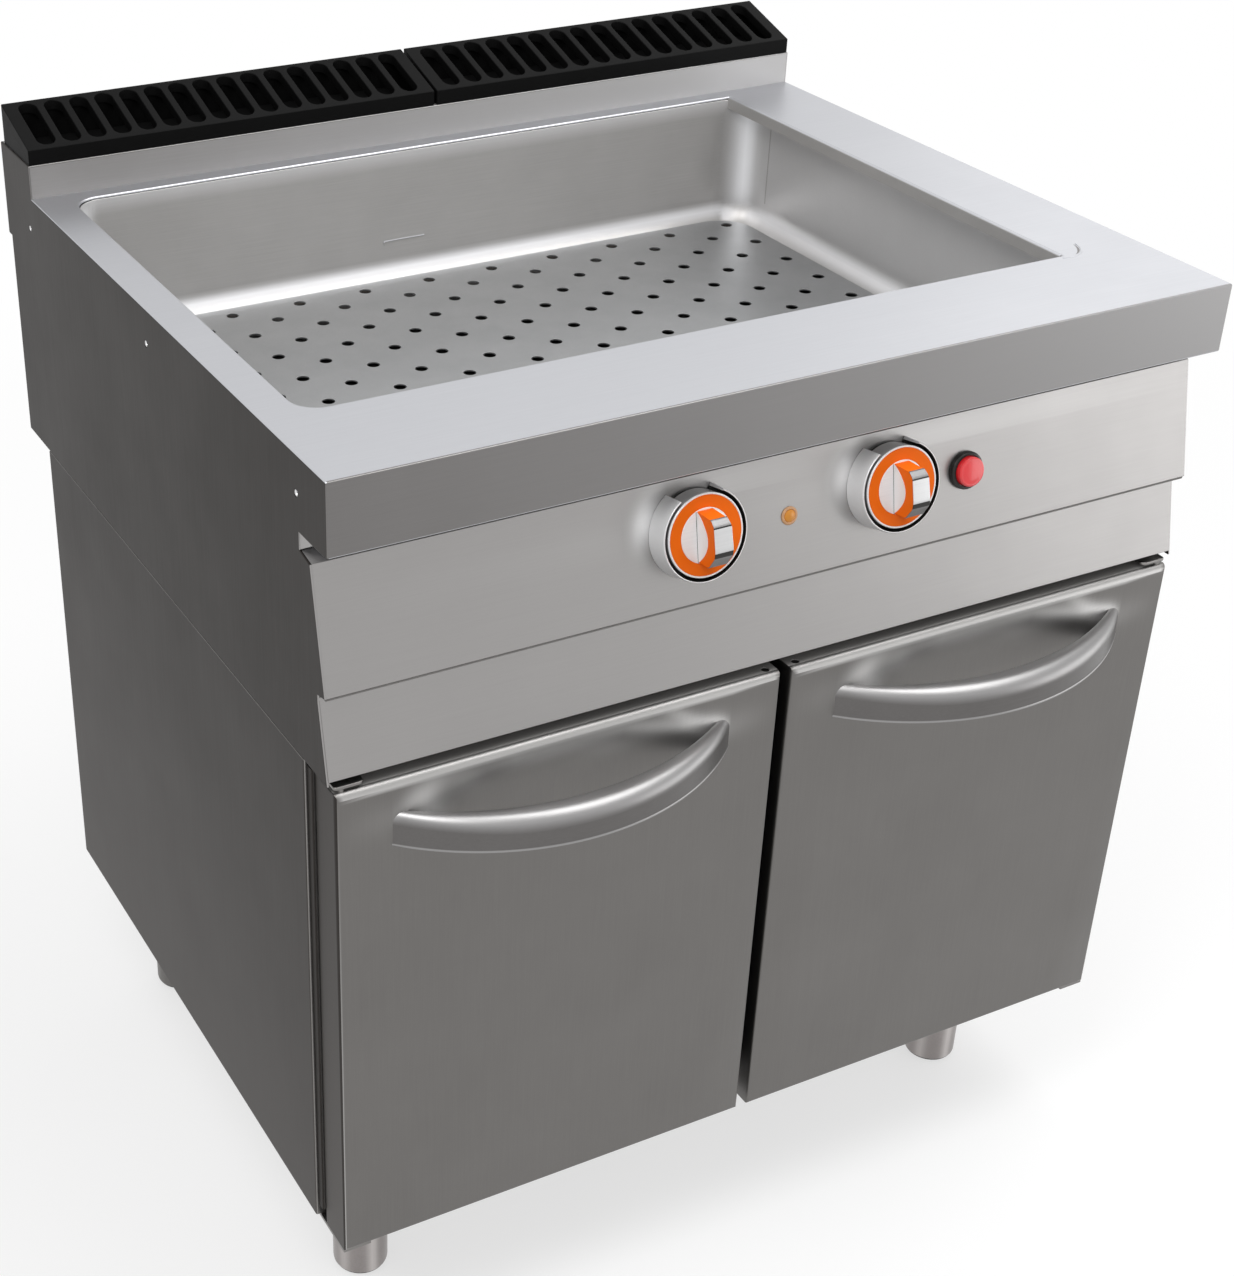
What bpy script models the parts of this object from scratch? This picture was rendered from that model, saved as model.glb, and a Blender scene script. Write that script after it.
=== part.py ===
"""Free-standing electric bain-marie on a two-door cupboard.

A top module holds the water well, its heating rods and the controls. It stands on
a cupboard with two hinged doors and four screw feet. Metres, +Z up. The origin is
on the floor, under the middle of the whole object. Depths are measured back from
the front skirt of the worktop, and drops are measured down from the worktop.
"""
import math

import bmesh
import bpy
from mathutils import Matrix, Vector

MM = 0.001

# Whole object
WIDTH = 800 * MM
HEIGHT = 867 * MM
MODULE_HEIGHT = 250 * MM
SHEET = 1.5 * MM
TOP_SHEET = 2 * MM
FIT = 0.3 * MM
OVERRUN = 2 * MM
WELD = 0.001 * MM
MERGE = 0.05 * MM

# Worktop, its front skirt and the inclined return under it
TOP_DEPTH = 621 * MM
SKIRT_HEIGHT = 58 * MM
RETURN_DEPTH = 24.4 * MM
RETURN_FALL = 1.2 * MM
LEDGE_DEPTH = 46.2 * MM
LEDGE_DROP = 72.4 * MM
WELL_LEFT = 32 * MM
WELL_FRONT = 110.5 * MM
WELL_BACK = 18 * MM
WELL_RIGHT = 52 * MM
WELL_CORNER = 25 * MM
STRIP_WIDTH = 82 * MM
STRIP_AHEAD = 7 * MM
STRIP_LIP = 11 * MM
SIDE_HOLE = 2.8 * MM
SIDE_HOLE_DROP = 30 * MM
SIDE_HOLE_END = 50 * MM
SIDE_HOLE_BEHIND = 11 * MM
SIDE_HOLE_COUNT = 3

# Water well
TUB_SHEET = 1.5 * MM
TUB_DEPTH = 132.5 * MM
TUB_FILLET = 18 * MM
TUB_FLANGE = 20 * MM
TUB_FLANGE_BACK = 15 * MM
DRAIN_RIGHT = 62 * MM
DRAIN_BACK = 64 * MM
DRAIN_BORE = 15 * MM

# Perforated false bottom
FALSE_SHEET = 1.5 * MM
FALSE_HEIGHT = 13.2 * MM
FALSE_MARGIN = 18 * MM
FALSE_LEFT = 45 * MM
FALSE_RIGHT = 25 * MM
FALSE_CORNER = 35 * MM
FALSE_FOOT_LENGTH = 340 * MM
FALSE_FOOT_INSET = 4 * MM
HOLE_RADIUS = 5.3 * MM
HOLE_PITCH_X = 33.7 * MM
HOLE_PITCH_Y = 26.3 * MM
HOLE_MARGIN_X = 19 * MM
HOLE_MARGIN_Y = 16 * MM

# Upstand behind the worktop, and its two vent grilles
UPSTAND_DEPTH = 79 * MM
UPSTAND_HEIGHT = 30 * MM
UPSTAND_DROP = 56 * MM
UPSTAND_TUCK = 20 * MM
BACK_STEP = 8 * MM
BACK_LAP = 7 * MM
VENT_RIM = 12 * MM
GRILLE_GAP = 2.8 * MM
GRILLE_DEPTH = 72 * MM
GRILLE_FRONT = 13.2 * MM
GRILLE_REAR = 35.2 * MM
GRILLE_WALL = 3 * MM
SLOT_COUNT = 16
SLOT_WIDTH = 17 * MM
SLOT_END = 21 * MM
SLOT_FRONT = 5.5 * MM
SLOT_REAR = 4.5 * MM

# Control panel and the fascia under it
PANEL_TILT = math.radians(11.5)
PANEL_DEPTH = 29.4 * MM
PANEL_DROP = 76 * MM
PANEL_LENGTH = 101.4 * MM
PANEL_FLANGE_RISE = 3.1 * MM
FASCIA_TILT = math.radians(12.3)
FASCIA_SET_IN = 14 * MM
FASCIA_GAP = 5.6 * MM
FASCIA_RETURN = 16 * MM
NOTCH_CLEAR = 2 * MM

# Controls
KNOB_SPREAD = 90 * MM
KNOB_SLOPE = 42 * MM
SPINDLE_RADIUS = 3 * MM
SPINDLE_CLEAR = 0.4 * MM
SPINDLE_LENGTH = 14 * MM
COLLAR_RADIUS = 36 * MM
COLLAR_WALL = 2.2 * MM
COLLAR_HEIGHT = 19.5 * MM
COLLAR_FLOOR = 1.5 * MM
WINDOW_WIDTH = 34 * MM
WINDOW_DEPTH = 8 * MM
KNOB_CLEAR = 1.6 * MM
KNOB_RIM = 1.2 * MM
BOWL_RADIUS = 22.3 * MM
BOWL_DEPTH = 12 * MM
RING_SINK = 1.5 * MM
BAR_WIDTH = 16 * MM
BAR_LENGTH = 40 * MM
BAR_REACH = 14 * MM
BAR_ROUND = 5 * MM
SWITCH_SIDE = 46 * MM
SWITCH_DEPTH = 38 * MM
LAMP_X = -2 * MM
LAMP_SLOPE = 50 * MM
LAMP_RADIUS = 7.4 * MM
LAMP_FLANGE = 1.2 * MM
LENS_RADIUS = 5 * MM
LENS_RISE = 2.6 * MM
LENS_CROWN_SHARE = 0.6
LAMP_LENGTH = 22 * MM
BUTTON_X = 167 * MM
BUTTON_SLOPE = 48 * MM
BEZEL_RADIUS = 15.5 * MM
BEZEL_HEIGHT = 5 * MM
BUTTON_RADIUS = 12.2 * MM
BUTTON_RISE = 9.5 * MM
BUTTON_SINK = 2 * MM
BUTTON_TRAVEL = 3 * MM
BUTTON_CLEAR = 0.4 * MM
BUTTON_LENGTH = 36 * MM
BUTTON_BODY = 14.5 * MM

# Heating rods, terminals and drain
ROD_RADIUS = 4.25 * MM
ROD_FRONT = 60 * MM
ROD_BACK = 120 * MM
ROD_PITCH = 60 * MM
ROD_SPREAD_SHARE = 0.25
TERMINAL_INSET = 130 * MM
TERMINAL_WIDTH = 110 * MM
TERMINAL_DEPTH = 50 * MM
TERMINAL_HEIGHT = 60 * MM
TERMINAL_BACK = 12 * MM
GLAND_INSET = 220 * MM
GLAND_RADIUS = 13 * MM
GLAND_NECK = 10 * MM
GLAND_BORE = 5.5 * MM
GLAND_DROP = 24 * MM
GLAND_NUT = 6 * MM
PIPE_RADIUS = 17 * MM
PIPE_WALL = 2 * MM
PIPE_FLANGE = 28 * MM
PIPE_LENGTH = 180 * MM
VALVE_RADIUS = 24 * MM
VALVE_HEIGHT = 64 * MM
VALVE_STEM = 6 * MM
VALVE_STEM_OUT = 12 * MM
LEVER_LENGTH = 90 * MM
LEVER_WIDTH = 16 * MM
LEVER_SHEET = 4 * MM

# Cupboard
CUP_SHEET = 1.2 * MM
CUP_FRONT = 50 * MM
CUP_INSET = 64 * MM
CUP_DROP = 714 * MM
CUP_FLANGE = 30 * MM
FLOOR_RISE = 12 * MM
FLOOR_RETURN = 20 * MM
POST_INSET = 8 * MM
POST_WIDTH = 26 * MM
POST_DEPTH = 8 * MM
RAIL_HEIGHT = 25 * MM
RAIL_DEPTH = 19 * MM

# Doors, hinges, catches and handles
DOOR_SETBACK = 4.3 * MM
DOOR_SIDE = 5 * MM
DOOR_GAP = 10.6 * MM
DOOR_CLEAR = 7 * MM
DOOR_BELOW = 2.8 * MM
DOOR_THICK = 36 * MM
DOOR_SHEET = 1.2 * MM
DOOR_BEND = 5.5 * MM
DOOR_HOLE = 3.5 * MM
DOOR_HOLE_INSET = 9.6 * MM
PIN_INSET_X = 6.5 * MM
PIN_INSET_Y = 6.7 * MM
PIN_RADIUS = 3 * MM
PIN_CLEAR = 0.4 * MM
PIN_LENGTH = 9 * MM
HINGE_WIDTH = 25 * MM
HINGE_SHEET = 3 * MM
HINGE_GAP = 2.5 * MM
HINGE_FRONT = 3 * MM
HINGE_LOWER_FRONT = 6 * MM
HINGE_PAD = 22 * MM
CATCH_WIDTH = 50 * MM
CATCH_HEIGHT = 14 * MM
CATCH_INSET = 15 * MM
HANDLE_CHORD = 298 * MM
HANDLE_REACH = 60 * MM
HANDLE_BELOW = 30 * MM
HANDLE_HEIGHT = 28 * MM
HANDLE_FOOT = 14 * MM
HANDLE_THICK = 22 * MM
DISH_WIDTH = 292 * MM
DISH_HEIGHT = 48 * MM
DISH_DEPTH = 12 * MM
DISH_AHEAD = 6 * MM
DISH_BELOW = 34 * MM

# Legs and screw feet
LEG_RADIUS = 25 * MM
LEG_INSET_X = 74.5 * MM
LEG_FRONT = 124 * MM
LEG_REAR_INSET = 61 * MM
LEG_WALL = 2 * MM
LEG_CAP = 3 * MM
LEG_NUT = 10 * MM
FOOT_HEAD = 60 * MM
FOOT_SCREW = 8 * MM
FOOT_STEM = 80 * MM
FOOT_FLOOR = 7 * MM
FOOT_ROUND = 6 * MM

# Round pieces are turned in this many steps
STEPS_LARGE = 36
STEPS_SMALL = 20
STEPS_ARC = 20
HOLE_SIDES = 6
SMALL_HOLE_SIDES = 10

# Rounded edges and outlines are drawn in this many steps
BEND_STEPS = 4
CORNER_STEPS = 5
SLOT_STEPS = 2
GRIP_STEPS = 2
LEVER_STEPS = 3
DISH_STEPS = 20
ROD_ROUNDING = 2
ROUND_PROFILE = 0.5
SHARP_ANGLE = math.radians(35)

# Places that several pieces share
HALF = WIDTH / 2
DEPTH = TOP_DEPTH + UPSTAND_DEPTH
GRILLE_WIDTH = HALF - GRILLE_GAP
TERMINAL_X = TERMINAL_INSET - HALF
GLAND_X = GLAND_INSET - HALF
CUP_REAR = DEPTH - CUP_INSET
LEG_REAR = CUP_REAR - LEG_REAR_INSET
DOOR_DROP = MODULE_HEIGHT + DOOR_CLEAR
DOOR_BOTTOM = CUP_DROP + DOOR_BELOW
HANDLE_DROP = DOOR_DROP + HANDLE_BELOW
DISH_DROP = DOOR_DROP + DISH_BELOW
FRONT_Y = -(DEPTH - HANDLE_REACH + DOOR_SETBACK) / 2
SIDE_INNER = HALF - SHEET - FIT
CUP_INNER = HALF - CUP_SHEET - FIT
MODULE_REAR = DEPTH - BACK_STEP
TUB_X = (-HALF + WELL_LEFT, HALF - WELL_RIGHT)
TUB_Y = (WELL_FRONT, TOP_DEPTH - WELL_BACK)
TUB_TOP = TOP_SHEET + FIT
TUB_UNDER = TUB_DEPTH + TUB_SHEET
FALSE_DROP = TUB_DEPTH - FIT - FALSE_HEIGHT
STRIP_X = HALF - STRIP_WIDTH
STRIP_FRONT = WELL_FRONT - STRIP_AHEAD
PANEL_SIN = math.sin(PANEL_TILT)
PANEL_COS = math.cos(PANEL_TILT)
DRAIN_X = TUB_X[1] - DRAIN_RIGHT
DRAIN_Y = TUB_Y[1] - DRAIN_BACK
CUP_TOP = MODULE_HEIGHT + FIT
BRACKET_BOTTOM = DOOR_DROP - HINGE_GAP
POST_TOP = BRACKET_BOTTOM + FIT
POST_FRONT = CUP_FRONT - POST_DEPTH - FIT
DOOR_REAR = DOOR_SETBACK + DOOR_THICK
DOOR_WIDTH = HALF - DOOR_SIDE - DOOR_GAP / 2
HINGE_X = HALF - DOOR_SIDE - PIN_INSET_X
HINGE_Y = DOOR_SETBACK + PIN_INSET_Y
LEG_TOP = HEIGHT - CUP_DROP + FLOOR_RISE - CUP_SHEET - FIT
KNOB_FACE = COLLAR_HEIGHT
SIDES = {"left": -1, "right": 1}

# A profile in depth and height, drawn in its own plane, stands upright across X
ACROSS = Matrix(((0, 0, 1, 0), (1, 0, 0, 0), (0, 1, 0, 0), (0, 0, 0, 1)))
# A profile in width and height stands upright across Y
ALONG = Matrix(((1, 0, 0, 0), (0, 0, -1, 0), (0, 1, 0, 0), (0, 0, 0, 1)))


def at(depth):
    """Give the Y of a depth behind the front skirt."""
    return FRONT_Y + depth


def up(drop):
    """Give the Z of a drop below the worktop."""
    return HEIGHT - drop


def point(depth, drop):
    """Give a depth and a drop as a point in a side profile."""
    return Vector((at(depth), up(drop)))


def clear_scene():
    """Remove what the opened scene holds."""
    for thing in list(bpy.data.objects):
        bpy.data.objects.remove(thing, do_unlink=True)


def new_collection(name):
    """Make a collection in the scene."""
    group = bpy.data.collections.new(name)
    bpy.context.scene.collection.children.link(group)
    return group


def make_finish(name, colour, roughness, metallic):
    """Make a Principled material from an sRGB hex colour."""
    finish = bpy.data.materials.new(name)
    finish.use_nodes = True
    shader = finish.node_tree.nodes["Principled BSDF"]
    channels = [int(colour[i:i + 2], 16) / 255 for i in (0, 2, 4)]
    linear = [c / 12.92 if c <= 0.04045 else ((c + 0.055) / 1.055) ** 2.4 for c in channels]
    shader.inputs["Base Color"].default_value = (*linear, 1)
    shader.inputs["Roughness"].default_value = roughness
    shader.inputs["Metallic"].default_value = metallic
    finish.diffuse_color = (*linear, 1)
    return finish


clear_scene()
PARTS = new_collection("bain_marie")
CUTTERS = new_collection("cutters")

STEEL = make_finish("brushed_stainless_steel", "B9B9BB", 0.35, 1)
DARK_STEEL = make_finish("satin_stainless_steel", "8A8886", 0.4, 1)
GALVANISED = make_finish("galvanised_steel", "9A9C9B", 0.5, 1)
CAST_IRON = make_finish("black_enamelled_iron", "262626", 0.45, 0)
CHROME = make_finish("chromed_plastic", "C9CACC", 0.15, 1)
ORANGE = make_finish("orange_plastic", "E8702A", 0.4, 0)
BLACK = make_finish("black_plastic", "1D1B19", 0.4, 0)
RED = make_finish("red_plastic", "E03A3E", 0.3, 0)
AMBER = make_finish("amber_lens", "D88F28", 0.2, 0)
BRASS = make_finish("nickelled_brass", "B8AE92", 0.3, 1)


def new_axis(name, matrix):
    """Make an empty that marks where a moving piece turns or slides."""
    axis = bpy.data.objects.new(name, None)
    axis.matrix_basis = matrix
    PARTS.objects.link(axis)
    return axis


WHOLE = new_axis("bain_marie_origin", Matrix())


def place(name, mesh, finish, matrix, carrier=None, cutter=False):
    """Put a mesh in the scene at a world matrix, carried by an empty."""
    thing = bpy.data.objects.new(name, mesh)
    carrier = carrier or WHOLE
    thing.parent = carrier
    thing.matrix_basis = carrier.matrix_basis.inverted() @ matrix
    if cutter:
        CUTTERS.objects.link(thing)
        thing.hide_render = True
        thing.display_type = "WIRE"
        return thing
    PARTS.objects.link(thing)
    mesh.materials.append(finish)
    return thing


def shade(mesh):
    """Shade a mesh smooth but for its sharp edges."""
    mesh.shade_smooth()
    mesh.set_sharp_from_angle(angle=SHARP_ANGLE)


def round_edges(shape, edges, radius, steps):
    """Round edges of a mesh with a quarter circle."""
    bmesh.ops.bevel(shape, geom=edges, offset=radius, segments=steps, profile=ROUND_PROFILE, affect="EDGES")


def block(name, low, high, finish, carrier=None, cutter=False, bend=None):
    """Make a box between two corners. A bend rounds its top front edge."""
    low, high = Vector(low), Vector(high)
    shape = bmesh.new()
    bmesh.ops.create_cube(shape, size=1)
    bmesh.ops.scale(shape, vec=high - low, verts=shape.verts)
    if bend:
        edges = [e for e in shape.edges if all(v.co.z > 0 and v.co.y < 0 for v in e.verts)]
        round_edges(shape, edges, bend, BEND_STEPS)
    mesh = bpy.data.meshes.new(name)
    shape.to_mesh(mesh)
    shape.free()
    return place(name, mesh, finish, Matrix.Translation((low + high) / 2), carrier, cutter)


def flat(name, outlines, thickness, finish, matrix, carrier=None, cutter=False):
    """Make a flat piece from a closed outline and the outlines of its holes.

    The outlines lie in the matrix's own XY plane, midway through the thickness.
    """
    curve = bpy.data.curves.new(name, "CURVE")
    curve.dimensions = "2D"
    curve.fill_mode = "BOTH"
    curve.extrude = thickness / 2
    for outline in outlines:
        spline = curve.splines.new("POLY")
        spline.points.add(len(outline) - 1)
        for spot, (u, v) in zip(spline.points, outline):
            spot.co = (u, v, 0, 1)
        spline.use_cyclic_u = True
    drawing = bpy.data.objects.new(name + "_outline", curve)
    CUTTERS.objects.link(drawing)
    graph = bpy.context.evaluated_depsgraph_get()
    mesh = bpy.data.meshes.new_from_object(drawing.evaluated_get(graph))
    bpy.data.objects.remove(drawing, do_unlink=True)
    shape = bmesh.new()
    shape.from_mesh(mesh)
    bmesh.ops.remove_doubles(shape, verts=shape.verts, dist=WELD)
    bmesh.ops.recalc_face_normals(shape, faces=shape.faces)
    shape.to_mesh(mesh)
    shape.free()
    mesh.name = name
    return place(name, mesh, finish, matrix, carrier, cutter)


def turned(name, profile, finish, matrix, steps, carrier=None, cutter=False, closed=False):
    """Turn a profile of radius and height round the matrix's own Z.

    An open profile starts and ends on the axis. A closed one makes a ring.
    """
    mesh = bpy.data.meshes.new(name)
    edges = [(i, i + 1) for i in range(len(profile) - 1)]
    if closed:
        edges.append((len(profile) - 1, 0))
    mesh.from_pydata([(radius, 0, height) for radius, height in profile], edges, [])
    thing = place(name, mesh, finish, matrix, carrier, cutter)
    screw = thing.modifiers.new("turn", "SCREW")
    screw.axis = "Z"
    screw.angle = math.tau
    screw.steps = steps
    screw.render_steps = steps
    screw.use_merge_vertices = True
    screw.merge_threshold = MERGE
    screw.use_smooth_shade = True
    return thing


def rod(name, points, radius, finish):
    """Make a round rod along points."""
    curve = bpy.data.curves.new(name, "CURVE")
    curve.dimensions = "3D"
    curve.bevel_depth = radius
    curve.bevel_resolution = ROD_ROUNDING
    curve.use_fill_caps = True
    spline = curve.splines.new("POLY")
    spline.points.add(len(points) - 1)
    for spot, place_at in zip(spline.points, points):
        spot.co = (*place_at, 1)
    return place(name, curve, finish, Matrix())


def combine(target, other, operation, solver="EXACT"):
    """Cut another shape out of a piece, or join it on."""
    change = target.modifiers.new(operation.lower(), "BOOLEAN")
    change.operation = operation
    change.solver = solver
    change.object = other


def hole(target, centre, radius, length, rotation=None, sides=STEPS_SMALL):
    """Drill a round hole, along Z or along the rotation's own Z."""
    matrix = Matrix.Translation(centre) @ (rotation or Matrix())
    half = length / 2
    profile = [(0, half), (radius, half), (radius, -half), (0, -half)]
    drill = turned(target.name + "_drill", profile, None, matrix, sides, cutter=True)
    combine(target, drill, "DIFFERENCE")


def box_outline(u_range, v_range, radii, steps=CORNER_STEPS):
    """Draw a rectangle with its own radius at each corner.

    The radii go round from the low corner: low low, high low, high high, low high.
    """
    centres = [(u_range[0], v_range[0], 1, 1), (u_range[1], v_range[0], -1, 1),
               (u_range[1], v_range[1], -1, -1), (u_range[0], v_range[1], 1, -1)]
    outline = []
    for turn, ((u, v, inward_u, inward_v), radius) in enumerate(zip(centres, radii)):
        if not radius:
            outline.append(Vector((u, v)))
            continue
        middle = Vector((u + inward_u * radius, v + inward_v * radius))
        for step in range(steps + 1):
            angle = math.pi + (turn + step / steps) * math.pi / 2
            outline.append(middle + radius * Vector((math.cos(angle), math.sin(angle))))
    return outline


def circle_outline(u, v, radius, sides):
    """Draw a round hole as a regular outline."""
    angles = [math.tau * (i + 0.5) / sides for i in range(sides)]
    return [Vector((u + radius * math.cos(a), v + radius * math.sin(a))) for a in angles]


def shift(path, distance):
    """Shift an open path to its left, with mitred corners."""
    shifted = []
    for i, spot in enumerate(path):
        before = (spot - path[i - 1]).normalized() if i else None
        after = (path[i + 1] - spot).normalized() if i + 1 < len(path) else None
        before = before or after
        after = after or before
        left = Vector((-(before.y + after.y), before.x + after.x)).normalized()
        shifted.append(spot + left * distance / left.dot(Vector((-after.y, after.x))))
    return shifted


def folded(name, path, thickness, length, finish, matrix, carrier=None):
    """Fold a sheet along a path. The path is its outer face, the sheet lies left of it."""
    outline = list(path) + shift(path, thickness)[::-1]
    return flat(name, [outline], length, finish, matrix, carrier)


def arc(start, end, sagitta, steps):
    """Give the points of an arc that bulges to the right of its chord."""
    start, end = Vector(start), Vector(end)
    chord = end - start
    half = chord.length / 2
    radius = (half * half + sagitta * sagitta) / (2 * sagitta)
    right = Vector((chord.y, -chord.x)).normalized()
    centre = (start + end) / 2 + right * (sagitta - radius)
    reach = math.asin(half / radius)
    forward = chord.normalized()
    points = []
    for step in range(steps + 1):
        angle = reach * (2 * step / steps - 1)
        points.append(centre + radius * (right * math.cos(angle) + forward * math.sin(angle)))
    return points


def panel_spot(slope, inward):
    """Give the depth and drop of a spot down the control panel and behind its face."""
    depth = PANEL_DEPTH - slope * PANEL_SIN + inward * PANEL_COS
    drop = PANEL_DROP + slope * PANEL_COS + inward * PANEL_SIN
    return depth, drop


def panel_matrix(x, slope):
    """Give a frame on the panel's face, with Z out of it and Y up it."""
    depth, drop = panel_spot(slope, 0)
    turn = Matrix.Rotation(math.pi / 2 - PANEL_TILT, 4, "X")
    return Matrix.Translation((x, at(depth), up(drop))) @ turn


def top_path():
    """Give the outer face of the worktop, its skirt and its return."""
    return [point(TOP_DEPTH - FIT, 0), point(0, 0), point(0, SKIRT_HEIGHT),
            point(RETURN_DEPTH, SKIRT_HEIGHT + RETURN_FALL), point(LEDGE_DEPTH, LEDGE_DROP)]


def panel_path():
    """Give the outer face of the control panel and its two flanges."""
    return [point(LEDGE_DEPTH, PANEL_DROP - PANEL_FLANGE_RISE), point(PANEL_DEPTH, PANEL_DROP),
            point(*panel_spot(PANEL_LENGTH, 0)), point(*panel_spot(PANEL_LENGTH, FASCIA_SET_IN))]


def fascia_path():
    """Give the outer face of the lower fascia and its return."""
    depth, drop = panel_spot(PANEL_LENGTH + FASCIA_GAP, FASCIA_SET_IN)
    foot = depth - (MODULE_HEIGHT - drop) * math.tan(FASCIA_TILT)
    return [point(depth, drop), point(foot, MODULE_HEIGHT), point(foot + FASCIA_RETURN, MODULE_HEIGHT)]


def build_worktop():
    """Build the worktop and the cover strip to the right of the well."""
    worktop = folded("worktop", top_path(), TOP_SHEET, WIDTH, STEEL, ACROSS)
    well = box_outline((TUB_X[0], STRIP_X - FIT), (at(TUB_Y[0]), at(TUB_Y[1])),
                       (WELL_CORNER, 0, 0, WELL_CORNER))
    past = STRIP_X - FIT
    corner = well.index(Vector((past, at(TUB_Y[0]))))
    around = [Vector((past, at(TUB_Y[0]))), Vector((past, at(STRIP_FRONT) - FIT)),
              Vector((HALF + OVERRUN, at(STRIP_FRONT) - FIT)),
              Vector((HALF + OVERRUN, at(TOP_DEPTH) + OVERRUN)),
              Vector((past, at(TOP_DEPTH) + OVERRUN)), Vector((past, at(TUB_Y[1])))]
    outline = well[:corner] + around + well[corner + 2:]
    level = Matrix.Translation((0, 0, up(TOP_SHEET / 2)))
    opening = flat("well_opening", [outline], TOP_SHEET + OVERRUN, None, level, cutter=True)
    combine(worktop, opening, "DIFFERENCE")
    strip_path = [Vector((HALF, up(0))), Vector((STRIP_X, up(0))), Vector((STRIP_X, up(STRIP_LIP)))]
    length = TOP_DEPTH - FIT - STRIP_FRONT
    middle = Matrix.Translation((0, at(STRIP_FRONT + length / 2), 0)) @ ALONG
    strip = folded("right_top_strip", strip_path, TOP_SHEET, length, STEEL, middle)
    lip = (STRIP_X - OVERRUN, STRIP_X + TOP_SHEET + OVERRUN)
    under = (up(STRIP_LIP + OVERRUN), up(TOP_SHEET))
    rear = (at(TUB_Y[1] - FIT), at(TOP_DEPTH + OVERRUN))
    front = (at(STRIP_FRONT - OVERRUN), at(TUB_Y[0] + FIT))
    for name, ends in (("strip_rear_notch", rear), ("strip_front_notch", front)):
        notch = block(name, (lip[0], ends[0], under[0]), (lip[1], ends[1], under[1]), None, cutter=True)
        combine(strip, notch, "DIFFERENCE")


def build_module_shell():
    """Build the sides, back and base of the top module, and the upstand."""
    inset = TOP_SHEET + FIT
    top = shift(top_path(), inset)
    panel = shift(panel_path(), SHEET + FIT)
    fascia = shift(fascia_path(), SHEET + FIT)
    notch = at(LEDGE_DEPTH + NOTCH_CLEAR)
    outline = top[1:4] + [Vector((notch, top[3].y)), Vector((notch, panel[0].y))] + panel[1:]
    outline += fascia + [Vector((fascia[2].x, up(MODULE_HEIGHT))), point(MODULE_REAR, MODULE_HEIGHT),
                         point(MODULE_REAR, UPSTAND_DROP), point(DEPTH, UPSTAND_DROP),
                         point(DEPTH, -UPSTAND_HEIGHT), point(TOP_DEPTH, -UPSTAND_HEIGHT),
                         point(TOP_DEPTH, inset)]
    pitch = (TOP_DEPTH + SIDE_HOLE_BEHIND - SIDE_HOLE_END) / (SIDE_HOLE_COUNT - 1)
    holes = [circle_outline(*point(SIDE_HOLE_END + i * pitch, SIDE_HOLE_DROP), SIDE_HOLE, SMALL_HOLE_SIDES)
             for i in range(SIDE_HOLE_COUNT)]
    for side, sign in SIDES.items():
        matrix = Matrix.Translation((sign * (HALF - SHEET / 2), 0, 0)) @ ACROSS
        flat("module_side_" + side, [outline] + holes, SHEET, STEEL, matrix)
    across = 2 * SIDE_INNER
    block("module_back", (-SIDE_INNER, at(MODULE_REAR - SHEET), up(MODULE_HEIGHT - SHEET - FIT)),
          (SIDE_INNER, at(MODULE_REAR), up(UPSTAND_DROP + FIT)), GALVANISED)
    front = fascia[2].x + FIT
    base = block("module_base", (-SIDE_INNER, front, up(MODULE_HEIGHT)),
                 (SIDE_INNER, at(MODULE_REAR), up(MODULE_HEIGHT - SHEET)), GALVANISED)
    middle = up(MODULE_HEIGHT - SHEET / 2)
    hole(base, (DRAIN_X, at(DRAIN_Y), middle), PIPE_RADIUS + FIT, SHEET + OVERRUN)
    hole(base, (GLAND_X, at(gland_depth()), middle), GLAND_NECK + FIT, SHEET + OVERRUN)
    path = [point(MODULE_REAR - BACK_LAP, UPSTAND_DROP), point(DEPTH, UPSTAND_DROP),
            point(DEPTH, -UPSTAND_HEIGHT), point(TOP_DEPTH, -UPSTAND_HEIGHT),
            point(TOP_DEPTH, UPSTAND_TUCK)]
    upstand = folded("upstand_box", path, SHEET, across, STEEL, ACROSS)
    for side, sign in SIDES.items():
        inner = grille_x(sign)[0] + VENT_RIM
        outer = grille_x(sign)[1] - VENT_RIM
        low = (inner, at(TOP_DEPTH + VENT_RIM), up(OVERRUN - UPSTAND_HEIGHT))
        high = (outer, at(TOP_DEPTH + GRILLE_DEPTH - VENT_RIM), up(-OVERRUN - UPSTAND_HEIGHT))
        vent = block("vent_window_" + side, low, high, None, cutter=True)
        combine(upstand, vent, "DIFFERENCE")


def build_front():
    """Build the control panel, with its holes, and the fascia under it."""
    panel = folded("control_panel", panel_path(), SHEET, WIDTH, STEEL, ACROSS)
    folded("lower_fascia", fascia_path(), SHEET, WIDTH, STEEL, ACROSS)
    drills = [(sign * KNOB_SPREAD, KNOB_SLOPE, SPINDLE_RADIUS + SPINDLE_CLEAR) for sign in SIDES.values()]
    drills.append((LAMP_X, LAMP_SLOPE, LENS_RADIUS + FIT))
    drills.append((BUTTON_X, BUTTON_SLOPE, BUTTON_BODY + FIT))
    for x, slope, radius in drills:
        spot = panel_matrix(x, slope)
        turn = spot.to_3x3().to_4x4()
        hole(panel, spot.translation, radius, 2 * (SHEET + OVERRUN), turn)


def spread(value, ends, radius, flanges):
    """Move a rim point out by the flange on its own side."""
    low, high = ends
    if value < low + radius:
        return value - flanges[0] * (low + radius - value) / radius
    if value > high - radius:
        return value + flanges[1] * (value - high + radius) / radius
    return value


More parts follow.
